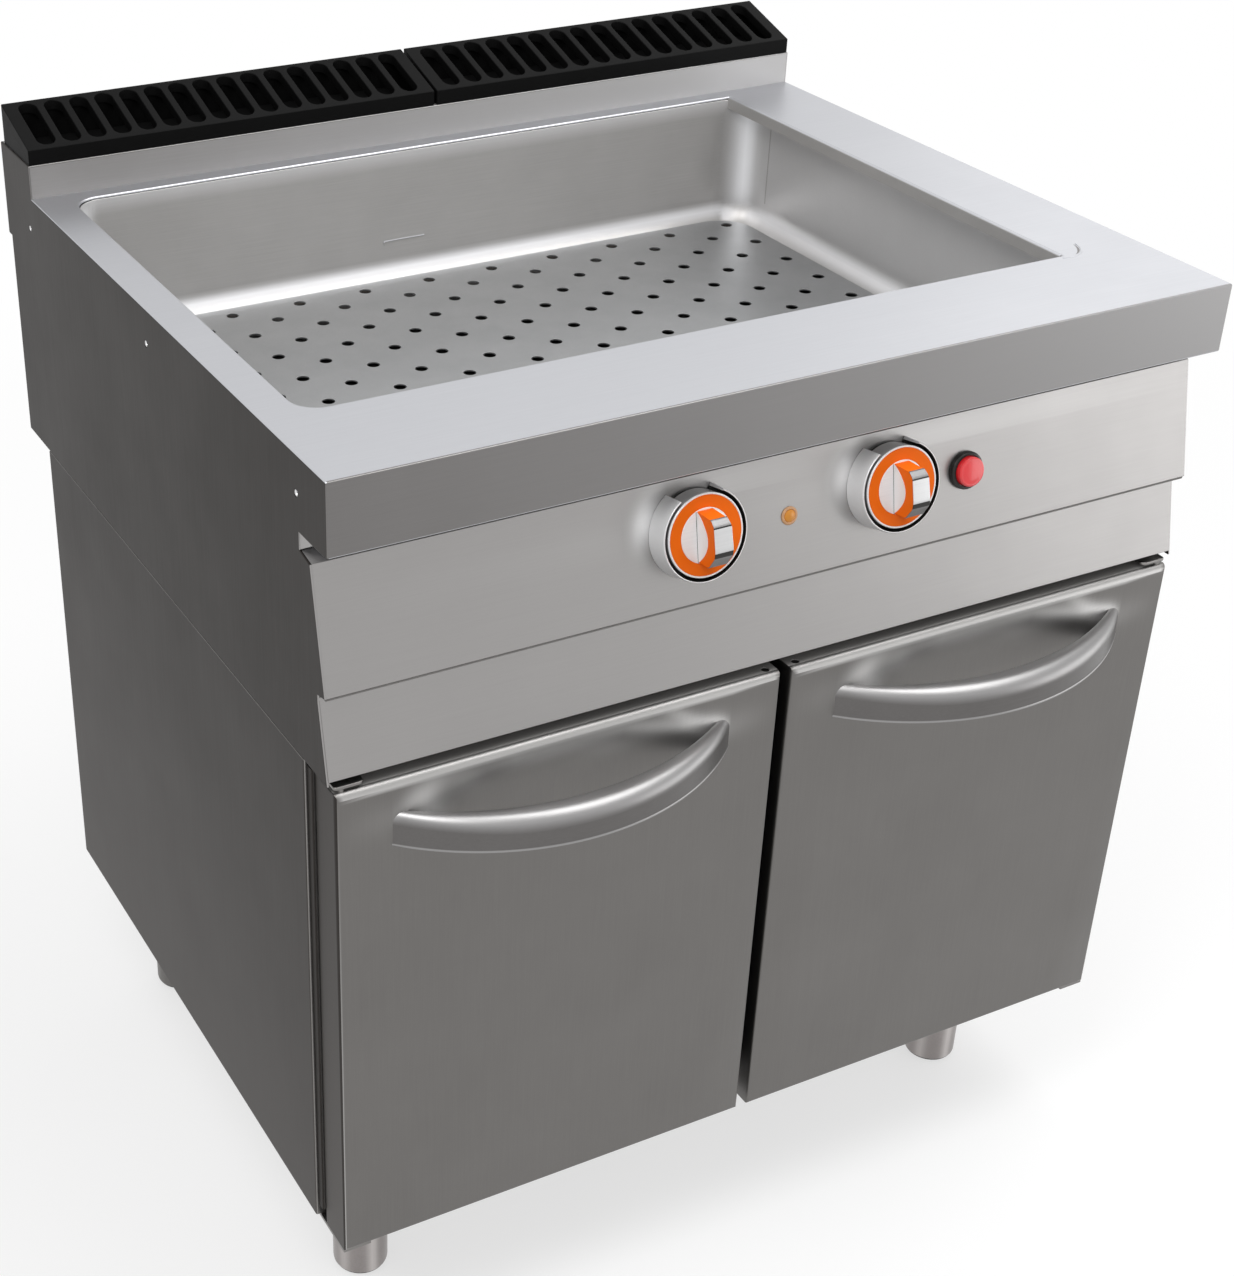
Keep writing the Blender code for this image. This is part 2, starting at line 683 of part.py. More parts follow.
def build_tub():
    """Build the water well, with its rounded corners, floor fillet and top flange."""
    low = Vector((TUB_X[0], at(TUB_Y[0]), up(TUB_DEPTH)))
    high = Vector((TUB_X[1], at(TUB_Y[1]), up(TUB_TOP)))
    shape = bmesh.new()
    bmesh.ops.create_cube(shape, size=1)
    bmesh.ops.scale(shape, vec=high - low, verts=shape.verts)
    bmesh.ops.translate(shape, vec=(low + high) / 2, verts=shape.verts)
    lid = max(shape.faces, key=lambda face: face.calc_center_median().z)
    bmesh.ops.delete(shape, geom=[lid], context="FACES_ONLY")
    posts = [e for e in shape.edges if abs(e.verts[0].co.z - e.verts[1].co.z) > WELD]
    round_edges(shape, posts, WELL_CORNER, CORNER_STEPS)
    foot = low.z + WELD
    sills = [e for e in shape.edges if all(v.co.z < foot for v in e.verts)]
    round_edges(shape, sills, TUB_FILLET, BEND_STEPS)
    rims = [e for e in shape.edges if e.is_boundary]
    grown = bmesh.ops.extrude_edge_only(shape, edges=rims)
    x_flanges = (low.x + SIDE_INNER, SIDE_INNER - high.x)
    y_flanges = (TUB_FLANGE, TUB_FLANGE_BACK)
    for vert in [v for v in grown["geom"] if isinstance(v, bmesh.types.BMVert)]:
        vert.co.x = spread(vert.co.x, (low.x, high.x), WELL_CORNER, x_flanges)
        vert.co.y = spread(vert.co.y, (low.y, high.y), WELL_CORNER, y_flanges)
    bmesh.ops.recalc_face_normals(shape, faces=shape.faces)
    floor = min(shape.faces, key=lambda face: face.calc_center_median().z)
    if floor.normal.z > 0:
        bmesh.ops.reverse_faces(shape, faces=shape.faces)
    mesh = bpy.data.meshes.new("well_tub")
    shape.to_mesh(mesh)
    shape.free()
    tub = place("well_tub", mesh, STEEL, Matrix())
    wall = tub.modifiers.new("wall", "SOLIDIFY")
    wall.thickness = TUB_SHEET
    wall.offset = 1
    wall.use_even_offset = True
    hole(tub, (DRAIN_X, at(DRAIN_Y), up(TUB_DEPTH)), DRAIN_BORE, 2 * (TUB_SHEET + OVERRUN))


def build_false_bottom():
    """Build the perforated false bottom on its two folded feet."""
    x_range = (TUB_X[0] + FALSE_LEFT, TUB_X[1] - FALSE_RIGHT)
    y_range = (TUB_Y[0] + FALSE_MARGIN, TUB_Y[1] - FALSE_MARGIN)
    columns = int((x_range[1] - x_range[0] - 2 * HOLE_MARGIN_X) / HOLE_PITCH_X) + 1
    rows = int((y_range[1] - y_range[0] - 2 * HOLE_MARGIN_Y) / HOLE_PITCH_Y) + 1
    first_x = sum(x_range) / 2 - (columns - 1) / 2 * HOLE_PITCH_X
    first_y = at(sum(y_range) / 2 + (rows - 1) / 2 * HOLE_PITCH_Y)
    holes = [circle_outline(first_x + i * HOLE_PITCH_X, first_y - j * HOLE_PITCH_Y, HOLE_RADIUS, HOLE_SIDES)
             for i in range(columns) for j in range(rows) if (i + j) % 2 == 0]
    outline = box_outline(x_range, (at(y_range[0]), at(y_range[1])), (FALSE_CORNER,) * 4)
    centre = (sum(x_range) / 2, at(sum(y_range) / 2), up(FALSE_DROP))
    lift = new_axis("false_bottom_lift", Matrix.Translation(centre))
    level = Matrix.Translation((0, 0, up(FALSE_DROP + FALSE_SHEET / 2)))
    plate = flat("false_bottom", [outline] + holes, FALSE_SHEET, STEEL, level, lift)
    half = FALSE_FOOT_LENGTH / 2
    middle = sum(y_range) / 2
    edges = (x_range[0] + FALSE_FOOT_INSET, x_range[1] - FALSE_FOOT_INSET - FALSE_SHEET)
    for number, edge in enumerate(edges):
        low = (edge, at(middle - half), up(FALSE_DROP + FALSE_HEIGHT))
        high = (edge + FALSE_SHEET, at(middle + half), up(FALSE_DROP + FALSE_SHEET / 2))
        foot = block("false_bottom_foot_%d" % number, low, high, None, lift, cutter=True)
        combine(plate, foot, "UNION", "MANIFOLD")


def grille_x(sign):
    """Give the low and high X of the left or the right grille."""
    near = sign * GRILLE_GAP / 2
    far = sign * (GRILLE_GAP / 2 + GRILLE_WIDTH)
    return min(near, far), max(near, far)


def build_grilles():
    """Build the two slotted vent grilles that lift off the upstand."""
    seat = UPSTAND_HEIGHT + FIT
    front, rear = at(TOP_DEPTH), at(TOP_DEPTH + GRILLE_DEPTH)
    base = up(-seat)
    outer = [Vector((front, base)), Vector((rear, base)), Vector((rear, base + GRILLE_REAR)),
             Vector((front, base + GRILLE_FRONT))]
    slope = math.atan((GRILLE_REAR - GRILLE_FRONT) / GRILLE_DEPTH)
    roof_fall = GRILLE_WALL / math.cos(slope)
    grade = math.tan(slope)
    inner = [Vector((front + GRILLE_WALL, base - OVERRUN)), Vector((rear - GRILLE_WALL, base - OVERRUN)),
             Vector((rear - GRILLE_WALL, base + GRILLE_REAR - roof_fall - GRILLE_WALL * grade)),
             Vector((front + GRILLE_WALL, base + GRILLE_FRONT - roof_fall + GRILLE_WALL * grade))]
    pitch = (GRILLE_WIDTH - 2 * SLOT_END) / (SLOT_COUNT - 1)
    run = (GRILLE_DEPTH - SLOT_FRONT - SLOT_REAR) / math.cos(slope)
    for side, sign in SIDES.items():
        low, high = grille_x(sign)
        middle = (low + high) / 2
        lift = new_axis("grille_%s_lift" % side, Matrix.Translation((middle, front, base)))
        matrix = Matrix.Translation((middle, 0, 0)) @ ACROSS
        grille = flat("grille_" + side, [outer], GRILLE_WIDTH, CAST_IRON, matrix, lift)
        hollow = flat("grille_%s_hollow" % side, [inner], GRILLE_WIDTH - 2 * GRILLE_WALL, None, matrix,
                      lift, cutter=True)
        combine(grille, hollow, "DIFFERENCE")
        half = SLOT_WIDTH / 2
        slots = [box_outline((x - half, x + half), (0, run), (half,) * 4, SLOT_STEPS)
                 for x in (SLOT_END - GRILLE_WIDTH / 2 + i * pitch for i in range(SLOT_COUNT))]
        start = Vector((middle, front + SLOT_FRONT, base + GRILLE_FRONT + SLOT_FRONT * grade))
        tilted = Matrix.Translation(start) @ Matrix.Rotation(slope, 4, "X")
        slotter = flat("grille_%s_slots" % side, slots, 2 * (GRILLE_WALL + OVERRUN), None, tilted, lift,
                       cutter=True)
        combine(grille, slotter, "DIFFERENCE")


def build_knob(side, sign, switch_name):
    """Build one knob, its ring and collar, and the switch behind the panel."""
    spot = panel_matrix(sign * KNOB_SPREAD, KNOB_SLOPE)
    wall = COLLAR_RADIUS - COLLAR_WALL
    collar_profile = [(COLLAR_RADIUS, COLLAR_HEIGHT), (COLLAR_RADIUS, FIT),
                      (SPINDLE_RADIUS + SPINDLE_CLEAR, FIT), (SPINDLE_RADIUS + SPINDLE_CLEAR, COLLAR_FLOOR),
                      (wall, COLLAR_FLOOR), (wall, COLLAR_HEIGHT)]
    collar = turned("knob_collar_" + side, collar_profile, CHROME, spot, STEPS_LARGE, closed=True)
    half = WINDOW_WIDTH / 2
    window = block("knob_window_" + side, (-half, 0, COLLAR_HEIGHT - WINDOW_DEPTH),
                   (half, COLLAR_RADIUS + OVERRUN, COLLAR_HEIGHT + OVERRUN), None, cutter=True)
    window.matrix_basis = spot @ window.matrix_basis
    combine(collar, window, "DIFFERENCE")
    axis = new_axis("knob_%s_axis" % side, spot)
    rim = wall - KNOB_CLEAR
    ring_out = rim - KNOB_RIM
    bowl_wall = BOWL_RADIUS + FIT
    floor = KNOB_FACE - BOWL_DEPTH
    knob_profile = [(0, floor), (BOWL_RADIUS - BOWL_DEPTH / 2, floor), (BOWL_RADIUS, floor + BOWL_DEPTH / 2),
                    (BOWL_RADIUS, KNOB_FACE - RING_SINK), (ring_out, KNOB_FACE - RING_SINK),
                    (ring_out, KNOB_FACE), (rim, KNOB_FACE), (rim, COLLAR_FLOOR + KNOB_CLEAR),
                    (SPINDLE_RADIUS, COLLAR_FLOOR + KNOB_CLEAR), (SPINDLE_RADIUS, -SPINDLE_LENGTH),
                    (0, -SPINDLE_LENGTH)]
    knob = turned("knob_" + side, knob_profile, CHROME, spot, STEPS_LARGE, axis)
    half = BAR_WIDTH / 2
    grip = block("knob_grip_" + side, (-half, -BAR_LENGTH / 2, floor - RING_SINK),
                 (half, BAR_LENGTH / 2, KNOB_FACE + BAR_REACH), None, cutter=True)
    grip.matrix_basis = spot @ grip.matrix_basis
    ends = grip.modifiers.new("round", "BEVEL")
    ends.width = BAR_ROUND
    ends.segments = GRIP_STEPS
    combine(knob, grip, "UNION")
    gap = ring_out - FIT
    ring_profile = [(gap, KNOB_FACE), (gap, KNOB_FACE - RING_SINK + FIT),
                    (bowl_wall, KNOB_FACE - RING_SINK + FIT), (bowl_wall, KNOB_FACE)]
    turned("knob_ring_" + side, ring_profile, ORANGE, spot, STEPS_LARGE, axis, closed=True)
    half = SWITCH_SIDE / 2
    face = -SHEET - FIT
    switch = block(switch_name, (-half, -half, face - SWITCH_DEPTH), (half, half, face), BLACK)
    switch.matrix_basis = spot @ switch.matrix_basis
    hole(switch, spot @ Vector((0, 0, face)), SPINDLE_RADIUS + SPINDLE_CLEAR, 2 * SPINDLE_LENGTH,
         spot.to_3x3().to_4x4())


def build_lamp_and_button():
    """Build the amber lamp, and the red push button in its black housing."""
    spot = panel_matrix(LAMP_X, LAMP_SLOPE)
    lamp_profile = [(0, LENS_RISE), (LENS_RADIUS * LENS_CROWN_SHARE, LENS_RISE), (LENS_RADIUS, LAMP_FLANGE),
                    (LAMP_RADIUS, LAMP_FLANGE), (LAMP_RADIUS, FIT), (LENS_RADIUS, FIT),
                    (LENS_RADIUS, -LAMP_LENGTH), (0, -LAMP_LENGTH)]
    turned("indicator_lamp", lamp_profile, AMBER, spot, STEPS_SMALL)
    spot = panel_matrix(BUTTON_X, BUTTON_SLOPE)
    bore = BUTTON_RADIUS + BUTTON_CLEAR
    well = -(BUTTON_SINK + BUTTON_TRAVEL + FIT)
    housing_profile = [(0, well), (bore, well), (bore, BEZEL_HEIGHT), (BEZEL_RADIUS, BEZEL_HEIGHT),
                       (BEZEL_RADIUS, FIT), (BUTTON_BODY, FIT), (BUTTON_BODY, -BUTTON_LENGTH),
                       (0, -BUTTON_LENGTH)]
    turned("button_housing", housing_profile, BLACK, spot, STEPS_SMALL)
    axis = new_axis("push_button_axis", spot)
    shoulder = BUTTON_RISE - BUTTON_SINK / 2
    cap_profile = [(0, BUTTON_RISE), (BUTTON_RADIUS - BUTTON_SINK / 2, BUTTON_RISE),
                   (BUTTON_RADIUS, shoulder), (BUTTON_RADIUS, -BUTTON_SINK), (0, -BUTTON_SINK)]
    turned("push_button", cap_profile, RED, spot, STEPS_SMALL, axis)


def gland_depth():
    """Give the depth of the cable gland, midway between the cupboard and the module's back."""
    return (CUP_REAR + MODULE_REAR) / 2


def build_heating():
    """Build the heating rods under the well, the terminal box and the cable gland."""
    level = up(TUB_UNDER + FIT + ROD_RADIUS)
    near, far = at(TUB_Y[0] + ROD_FRONT), at(TUB_Y[1] - ROD_BACK)
    centre = sum(TUB_X) / 2
    offset = (TUB_X[1] - TUB_X[0]) * ROD_SPREAD_SHARE
    half = ROD_PITCH / 2
    for side, sign in SIDES.items():
        middle = centre + sign * offset
        bend = [(middle - half * math.cos(math.pi * i / STEPS_ARC),
                 far + half * math.sin(math.pi * i / STEPS_ARC), level) for i in range(STEPS_ARC + 1)]
        route = [(middle - half, near, level)] + bend + [(middle + half, near, level)]
        rod("heating_rod_" + side, route, ROD_RADIUS, DARK_STEEL)
    half = TERMINAL_WIDTH / 2
    back = MODULE_REAR - SHEET - TERMINAL_BACK
    bottom = MODULE_HEIGHT - SHEET - FIT
    block("terminal_box", (TERMINAL_X - half, at(back - TERMINAL_DEPTH), up(bottom)),
          (TERMINAL_X + half, at(back), up(bottom - TERMINAL_HEIGHT)), BLACK)
    spot = Matrix.Translation((GLAND_X, at(gland_depth()), up(MODULE_HEIGHT)))
    above = SHEET + FIT + GLAND_NUT
    profile = [(GLAND_RADIUS, -FIT), (GLAND_RADIUS, -GLAND_DROP), (GLAND_BORE, -GLAND_DROP),
               (GLAND_BORE, above), (GLAND_NECK, above), (GLAND_NECK, -FIT)]
    turned("cable_gland", profile, BLACK, spot, STEPS_SMALL, closed=True)


def build_drain():
    """Build the drain pipe, its valve and the valve's lever."""
    top = up(TUB_UNDER + FIT)
    spot = Matrix.Translation((DRAIN_X, at(DRAIN_Y), top))
    bore = PIPE_RADIUS - PIPE_WALL
    profile = [(PIPE_FLANGE, 0), (PIPE_FLANGE, -PIPE_WALL), (PIPE_RADIUS, -PIPE_WALL),
               (PIPE_RADIUS, -PIPE_LENGTH), (bore, -PIPE_LENGTH), (bore, 0)]
    turned("drain_pipe", profile, DARK_STEEL, spot, STEPS_SMALL, closed=True)
    valve_top = top - PIPE_LENGTH - FIT
    middle = Vector((DRAIN_X, at(DRAIN_Y), valve_top - VALVE_HEIGHT / 2))
    half = VALVE_HEIGHT / 2
    profile = [(VALVE_RADIUS, half / 2), (VALVE_RADIUS, -half / 2), (PIPE_RADIUS, -half), (bore, -half),
               (bore, half), (PIPE_RADIUS, half)]
    valve = turned("drain_valve", profile, BRASS, Matrix.Translation(middle), STEPS_SMALL, closed=True)
    forward = Matrix.Rotation(math.pi / 2, 4, "X")
    stem_profile = [(0, VALVE_RADIUS + VALVE_STEM_OUT), (VALVE_STEM, VALVE_RADIUS + VALVE_STEM_OUT),
                    (VALVE_STEM, bore + FIT), (0, bore + FIT)]
    stem = turned("drain_valve_stem", stem_profile, None, Matrix.Translation(middle) @ forward,
                  STEPS_SMALL, cutter=True)
    combine(valve, stem, "UNION")
    front = middle.y - VALVE_RADIUS - VALVE_STEM_OUT - FIT
    pivot = Matrix.Translation((middle.x, front, middle.z))
    axis = new_axis("drain_lever_axis", pivot)
    end = LEVER_WIDTH / 2
    outline = box_outline((-LEVER_LENGTH, end), (-end, end), (end,) * 4, LEVER_STEPS)
    flat("drain_lever", [outline], LEVER_SHEET, RED,
         Matrix.Translation((0, -LEVER_SHEET / 2, 0)) @ pivot @ ALONG, axis)


def build_cupboard():
    """Build the cupboard's sides, back, floor, posts, top rail and catches."""
    height = CUP_DROP - CUP_TOP
    middle = Matrix.Translation((0, 0, up(CUP_TOP + height / 2)))
    post_height = CUP_DROP - FLOOR_RISE - POST_TOP
    post_middle = Matrix.Translation((0, 0, up(POST_TOP + post_height / 2)))
    for side, sign in SIDES.items():
        wall_path = [Vector((sign * HALF, at(CUP_REAR))), Vector((sign * HALF, at(CUP_FRONT))),
                     Vector((sign * (HALF - CUP_FLANGE), at(CUP_FRONT)))]
        near = sign * (HALF - POST_INSET)
        far = sign * (HALF - POST_INSET - POST_WIDTH)
        rear = at(CUP_FRONT - FIT)
        post_path = [Vector((near, rear)), Vector((near, at(POST_FRONT))), Vector((far, at(POST_FRONT))),
                     Vector((far, rear))]
        if sign > 0:
            wall_path.reverse()
            post_path.reverse()
        folded("cupboard_side_" + side, wall_path, CUP_SHEET, height, STEEL, middle)
        folded("front_post_" + side, post_path, CUP_SHEET, post_height, DARK_STEEL, post_middle)
        reach = sign * (DOOR_GAP / 2 + CATCH_INSET)
        ends = sorted((reach, reach + sign * CATCH_WIDTH))
        drop = POST_TOP + (RAIL_HEIGHT - CATCH_HEIGHT) / 2
        block("door_catch_" + side, (ends[0], at(DOOR_REAR + FIT), up(drop + CATCH_HEIGHT)),
              (ends[1], at(CUP_FRONT + CUP_SHEET), up(drop)), BLACK)
    block("cupboard_back", (-CUP_INNER, at(CUP_REAR - CUP_SHEET), up(CUP_DROP)),
          (CUP_INNER, at(CUP_REAR), up(CUP_TOP)), GALVANISED)
    front = CUP_FRONT + CUP_SHEET + FIT
    rear = CUP_REAR - CUP_SHEET - FIT
    level = CUP_DROP - FLOOR_RISE
    floor_path = [point(rear - FLOOR_RETURN, CUP_DROP), point(rear, CUP_DROP), point(rear, level),
                  point(front, level), point(front, CUP_DROP), point(front + FLOOR_RETURN, CUP_DROP)]
    folded("cupboard_floor", floor_path, CUP_SHEET, 2 * CUP_INNER, STEEL, ACROSS)
    rail_path = [point(front + RAIL_DEPTH, POST_TOP), point(front, POST_TOP),
                 point(front, POST_TOP + RAIL_HEIGHT)]
    folded("front_top_rail", rail_path, CUP_SHEET, 2 * CUP_INNER, DARK_STEEL, ACROSS)


def build_hinges(side, sign):
    """Build the upper and lower hinge brackets of one door, each with its pin."""
    near = sign * (HALF - DOOR_SIDE)
    ends = sorted((near, near - sign * HINGE_WIDTH))
    centre = Vector((sign * HINGE_X, at(HINGE_Y), 0))
    low = (ends[0], at(HINGE_FRONT), up(BRACKET_BOTTOM))
    high = (ends[1], at(CUP_FRONT - 2 * FIT), up(BRACKET_BOTTOM - HINGE_SHEET))
    upper = block("hinge_upper_" + side, low, high, DARK_STEEL)
    start, end = up(BRACKET_BOTTOM - HINGE_SHEET / 2), up(DOOR_DROP + PIN_LENGTH)
    pin_profile = [(0, start), (PIN_RADIUS, start), (PIN_RADIUS, end), (0, end)]
    pin = turned("hinge_pin_upper_" + side, pin_profile, None, Matrix.Translation(centre),
                 STEPS_SMALL, cutter=True)
    combine(upper, pin, "UNION")
    seat = CUP_DROP + FIT
    plate = DOOR_BOTTOM + FIT
    pad = CUP_FRONT + CUP_SHEET + FIT
    outline = [point(HINGE_LOWER_FRONT, plate + HINGE_SHEET), point(pad + HINGE_PAD, plate + HINGE_SHEET),
               point(pad + HINGE_PAD, seat), point(pad, seat), point(pad, plate),
               point(HINGE_LOWER_FRONT, plate)]
    lower = flat("hinge_lower_" + side, [outline], HINGE_WIDTH, DARK_STEEL,
                 Matrix.Translation((sum(ends) / 2, 0, 0)) @ ACROSS)
    start, end = up(DOOR_BOTTOM - PIN_LENGTH), up(plate + HINGE_SHEET / 2)
    pin_profile = [(0, start), (PIN_RADIUS, start), (PIN_RADIUS, end), (0, end)]
    pin = turned("hinge_pin_lower_" + side, pin_profile, None, Matrix.Translation(centre),
                 STEPS_SMALL, cutter=True)
    combine(lower, pin, "UNION")


def dish(name, centre, grow, carrier):
    """Make the shallow pressed dish behind a handle, as a stretched ball ahead of the door's face."""
    shape = bmesh.new()
    bmesh.ops.create_uvsphere(shape, u_segments=DISH_STEPS, v_segments=DISH_STEPS // 2, radius=1)
    depth = DISH_DEPTH + DISH_AHEAD
    widening = 1 / math.sqrt(1 - (DISH_AHEAD / depth) ** 2)
    size = Vector((DISH_WIDTH / 2 * widening + grow, depth + grow, DISH_HEIGHT / 2 * widening + grow))
    bmesh.ops.scale(shape, vec=size, verts=shape.verts)
    mesh = bpy.data.meshes.new(name)
    shape.to_mesh(mesh)
    shape.free()
    return place(name, mesh, None, Matrix.Translation(centre), carrier, cutter=True)


def build_door(side, sign):
    """Build one door: its outer skin with the dish, its inner panel and its handle."""
    pivot = Matrix.Translation((sign * HINGE_X, at(HINGE_Y), up(DOOR_BOTTOM)))
    axis = new_axis("door_%s_axis" % side, pivot)
    outer = sign * (HALF - DOOR_SIDE)
    ends = sorted((outer, outer - sign * DOOR_WIDTH))
    middle = sum(ends) / 2
    face, rear = at(DOOR_SETBACK), at(DOOR_REAR)
    skin = block("door_skin_" + side, (ends[0], face, up(DOOR_BOTTOM)), (ends[1], rear, up(DOOR_DROP)),
                 STEEL, axis, bend=DOOR_BEND)
    hollow = block("door_hollow_" + side,
                   (ends[0] + DOOR_SHEET, face + DOOR_SHEET, up(DOOR_BOTTOM - DOOR_SHEET)),
                   (ends[1] - DOOR_SHEET, rear + OVERRUN, up(DOOR_DROP + DOOR_SHEET)),
                   None, axis, cutter=True, bend=DOOR_BEND - DOOR_SHEET)
    dish_centre = (middle, face - DISH_AHEAD, up(DISH_DROP))
    combine(hollow, dish("dish_back_" + side, dish_centre, DOOR_SHEET, axis), "DIFFERENCE")
    combine(skin, hollow, "DIFFERENCE")
    combine(skin, dish("dish_" + side, dish_centre, 0, axis), "DIFFERENCE")
    pin = (sign * HINGE_X, at(HINGE_Y))
    for drop in (DOOR_DROP, DOOR_BOTTOM):
        hole(skin, (*pin, up(drop)), PIN_RADIUS + PIN_CLEAR, 2 * (DOOR_SHEET + OVERRUN),
             sides=SMALL_HOLE_SIDES)
    free = outer - sign * (DOOR_WIDTH - DOOR_HOLE_INSET)
    hole(skin, (free, face + DOOR_HOLE_INSET, up(DOOR_DROP)), DOOR_HOLE, 2 * (DOOR_SHEET + OVERRUN),
         sides=SMALL_HOLE_SIDES)
    inset = DOOR_SHEET + FIT
    block("door_inner_" + side, (ends[0] + inset, rear - DOOR_SHEET, up(DOOR_BOTTOM - inset)),
          (ends[1] - inset, rear, up(DOOR_DROP + inset)), GALVANISED, axis)
    base = face - FIT
    half = HANDLE_CHORD / 2
    inner = half - HANDLE_FOOT
    reach = HANDLE_REACH - FIT
    bow = arc((middle - half, base), (middle + half, base), reach, STEPS_ARC)
    under = arc((middle - inner, base), (middle + inner, base), reach - HANDLE_THICK, STEPS_ARC)
    level = Matrix.Translation((0, 0, up(HANDLE_DROP + HANDLE_HEIGHT / 2)))
    flat("door_handle_" + side, [bow + under[::-1]], HANDLE_HEIGHT, STEEL, level, axis)


def build_leg(name, x, depth):
    """Build one leg tube with its nut plate, and the screw foot that turns in it."""
    spot = Matrix.Translation((x, at(depth), 0))
    bore = LEG_RADIUS - LEG_WALL
    bottom = FOOT_HEAD + FIT
    thread = FOOT_SCREW + FIT
    ceiling = LEG_TOP - LEG_CAP
    profile = [(0, LEG_TOP), (LEG_RADIUS, LEG_TOP), (LEG_RADIUS, bottom), (thread, bottom),
               (thread, bottom + LEG_NUT), (bore, bottom + LEG_NUT), (bore, ceiling), (0, ceiling)]
    turned("leg_" + name, profile, STEEL, spot, STEPS_SMALL)
    axis = new_axis("foot_%s_axis" % name, spot)
    chamfer = FOOT_ROUND * (1 - math.cos(math.pi / 4))
    profile = [(0, FOOT_HEAD + FOOT_STEM), (FOOT_SCREW, FOOT_HEAD + FOOT_STEM), (FOOT_SCREW, FOOT_FLOOR),
               (bore, FOOT_FLOOR), (bore, FOOT_HEAD), (LEG_RADIUS, FOOT_HEAD), (LEG_RADIUS, FOOT_ROUND),
               (LEG_RADIUS - chamfer, chamfer), (LEG_RADIUS - FOOT_ROUND, 0), (0, 0)]
    turned("foot_" + name, profile, STEEL, spot, STEPS_SMALL, axis)


def build_all():
    """Build every piece in order."""
    build_worktop()
    build_module_shell()
    build_front()
    build_tub()
    build_false_bottom()
    build_grilles()
    build_knob("left", -1, "thermostat")
    build_knob("right", 1, "selector_switch")
    build_lamp_and_button()
    build_heating()
    build_drain()
    build_cupboard()
    for side, sign in SIDES.items():
        build_hinges(side, sign)
        build_door(side, sign)
        build_leg("front_" + side, sign * (HALF - LEG_INSET_X), LEG_FRONT)
        build_leg("rear_" + side, sign * (HALF - LEG_INSET_X), LEG_REAR)
    for thing in PARTS.objects:
        if thing.type == "MESH" and not thing.modifiers:
            shade(thing.data)


build_all()
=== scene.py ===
"""Looks of a free-standing electric bain-marie of stainless steel.

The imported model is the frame, and every piece here rides on one of its bodies. Metres, +Z up.
Depths are measured back from the front skirt of the worktop, and rises up from the worktop, in
millimetres. Radii and widths given as numbers to the functions here are in metres unless they say so.
"""

import logging
import math
from dataclasses import dataclass
from enum import Enum
from typing import Callable, Optional, Sequence

import bmesh
import bpy
from mathutils import Matrix, Vector
from mathutils.geometry import tessellate_polygon


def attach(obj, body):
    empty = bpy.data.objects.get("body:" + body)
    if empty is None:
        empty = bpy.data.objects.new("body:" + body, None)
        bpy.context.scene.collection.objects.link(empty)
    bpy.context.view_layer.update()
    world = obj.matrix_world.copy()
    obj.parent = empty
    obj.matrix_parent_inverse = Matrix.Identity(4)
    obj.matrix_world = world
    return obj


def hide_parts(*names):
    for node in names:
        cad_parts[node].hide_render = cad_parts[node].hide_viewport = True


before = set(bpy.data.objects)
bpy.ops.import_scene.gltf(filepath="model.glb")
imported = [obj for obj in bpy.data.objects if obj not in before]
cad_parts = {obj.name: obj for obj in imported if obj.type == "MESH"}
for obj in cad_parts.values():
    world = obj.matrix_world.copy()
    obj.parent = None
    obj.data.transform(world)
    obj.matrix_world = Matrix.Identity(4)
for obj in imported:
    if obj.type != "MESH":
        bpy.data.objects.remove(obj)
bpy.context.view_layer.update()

LOG = logging.getLogger("bain_marie")

MM = 0.001
FRONT_Y = -322.15 * MM
TOP_Z = 867 * MM
HALF = 400 * MM
SHEET = 1.5
INNER = HALF - SHEET * MM

# A side profile of depth and height stands across X, and a front outline stands across Y.
ACROSS = Matrix(((0, 0, 1, 0), (1, 0, 0, 0), (0, 1, 0, 0), (0, 0, 0, 1)))
ALONG = Matrix(((1, 0, 0, 0), (0, 0, -1, 0), (0, 1, 0, 0), (0, 0, 0, 1)))
# A profile that runs from one side plate to the other, and its two ends.
LONG = Matrix.Translation((-INNER, 0, 0)) @ ACROSS
FULL = ((0.0, 0.0), (0.0, 2 * INNER))

# The control panel's slope and top bend, and the knobs' places on it.
PANEL_TILT = math.radians(11.5)
PANEL_TOP = (29.4, -76.0)
KNOB_SPREAD = 90.0
KNOB_SLOPE = 42.0


class Side(Enum):
    """Which end of the cabinet a piece belongs to."""

    LEFT = -1
    RIGHT = 1

    @property
    def word(self) -> str:
        """Give the side's word in node names."""
        return self.name.lower()


class Grain(Enum):
    """Which way a steel face was brushed, as a stretch of the pattern along X, Y and Z."""

    ACROSS = (0.012, 1.0, 1.0)
    INWARD = (1.0, 0.012, 1.0)
    UPRIGHT = (1.0, 1.0, 0.012)
    NONE = (1.0, 1.0, 1.0)


def at(depth: float) -> float:
    """Give the Y of a depth behind the front skirt, in millimetres."""
    return FRONT_Y + depth * MM


def up(rise: float) -> float:
    """Give the Z of a rise above the worktop, in millimetres."""
    return TOP_Z + rise * MM


def spot(depth: float, rise: float) -> Vector:
    """Give a depth and a rise, in millimetres, as a point of a side profile."""
    return Vector((at(depth), up(rise)))


def plan(x: float, depth: float) -> Vector:
    """Give a place across and a depth, in millimetres, as a point of a plan."""
    return Vector((x * MM, at(depth)))


def level(rise: float) -> Matrix:
    """Give a flat frame at a rise, in millimetres."""
    return Matrix.Translation((0, 0, up(rise)))


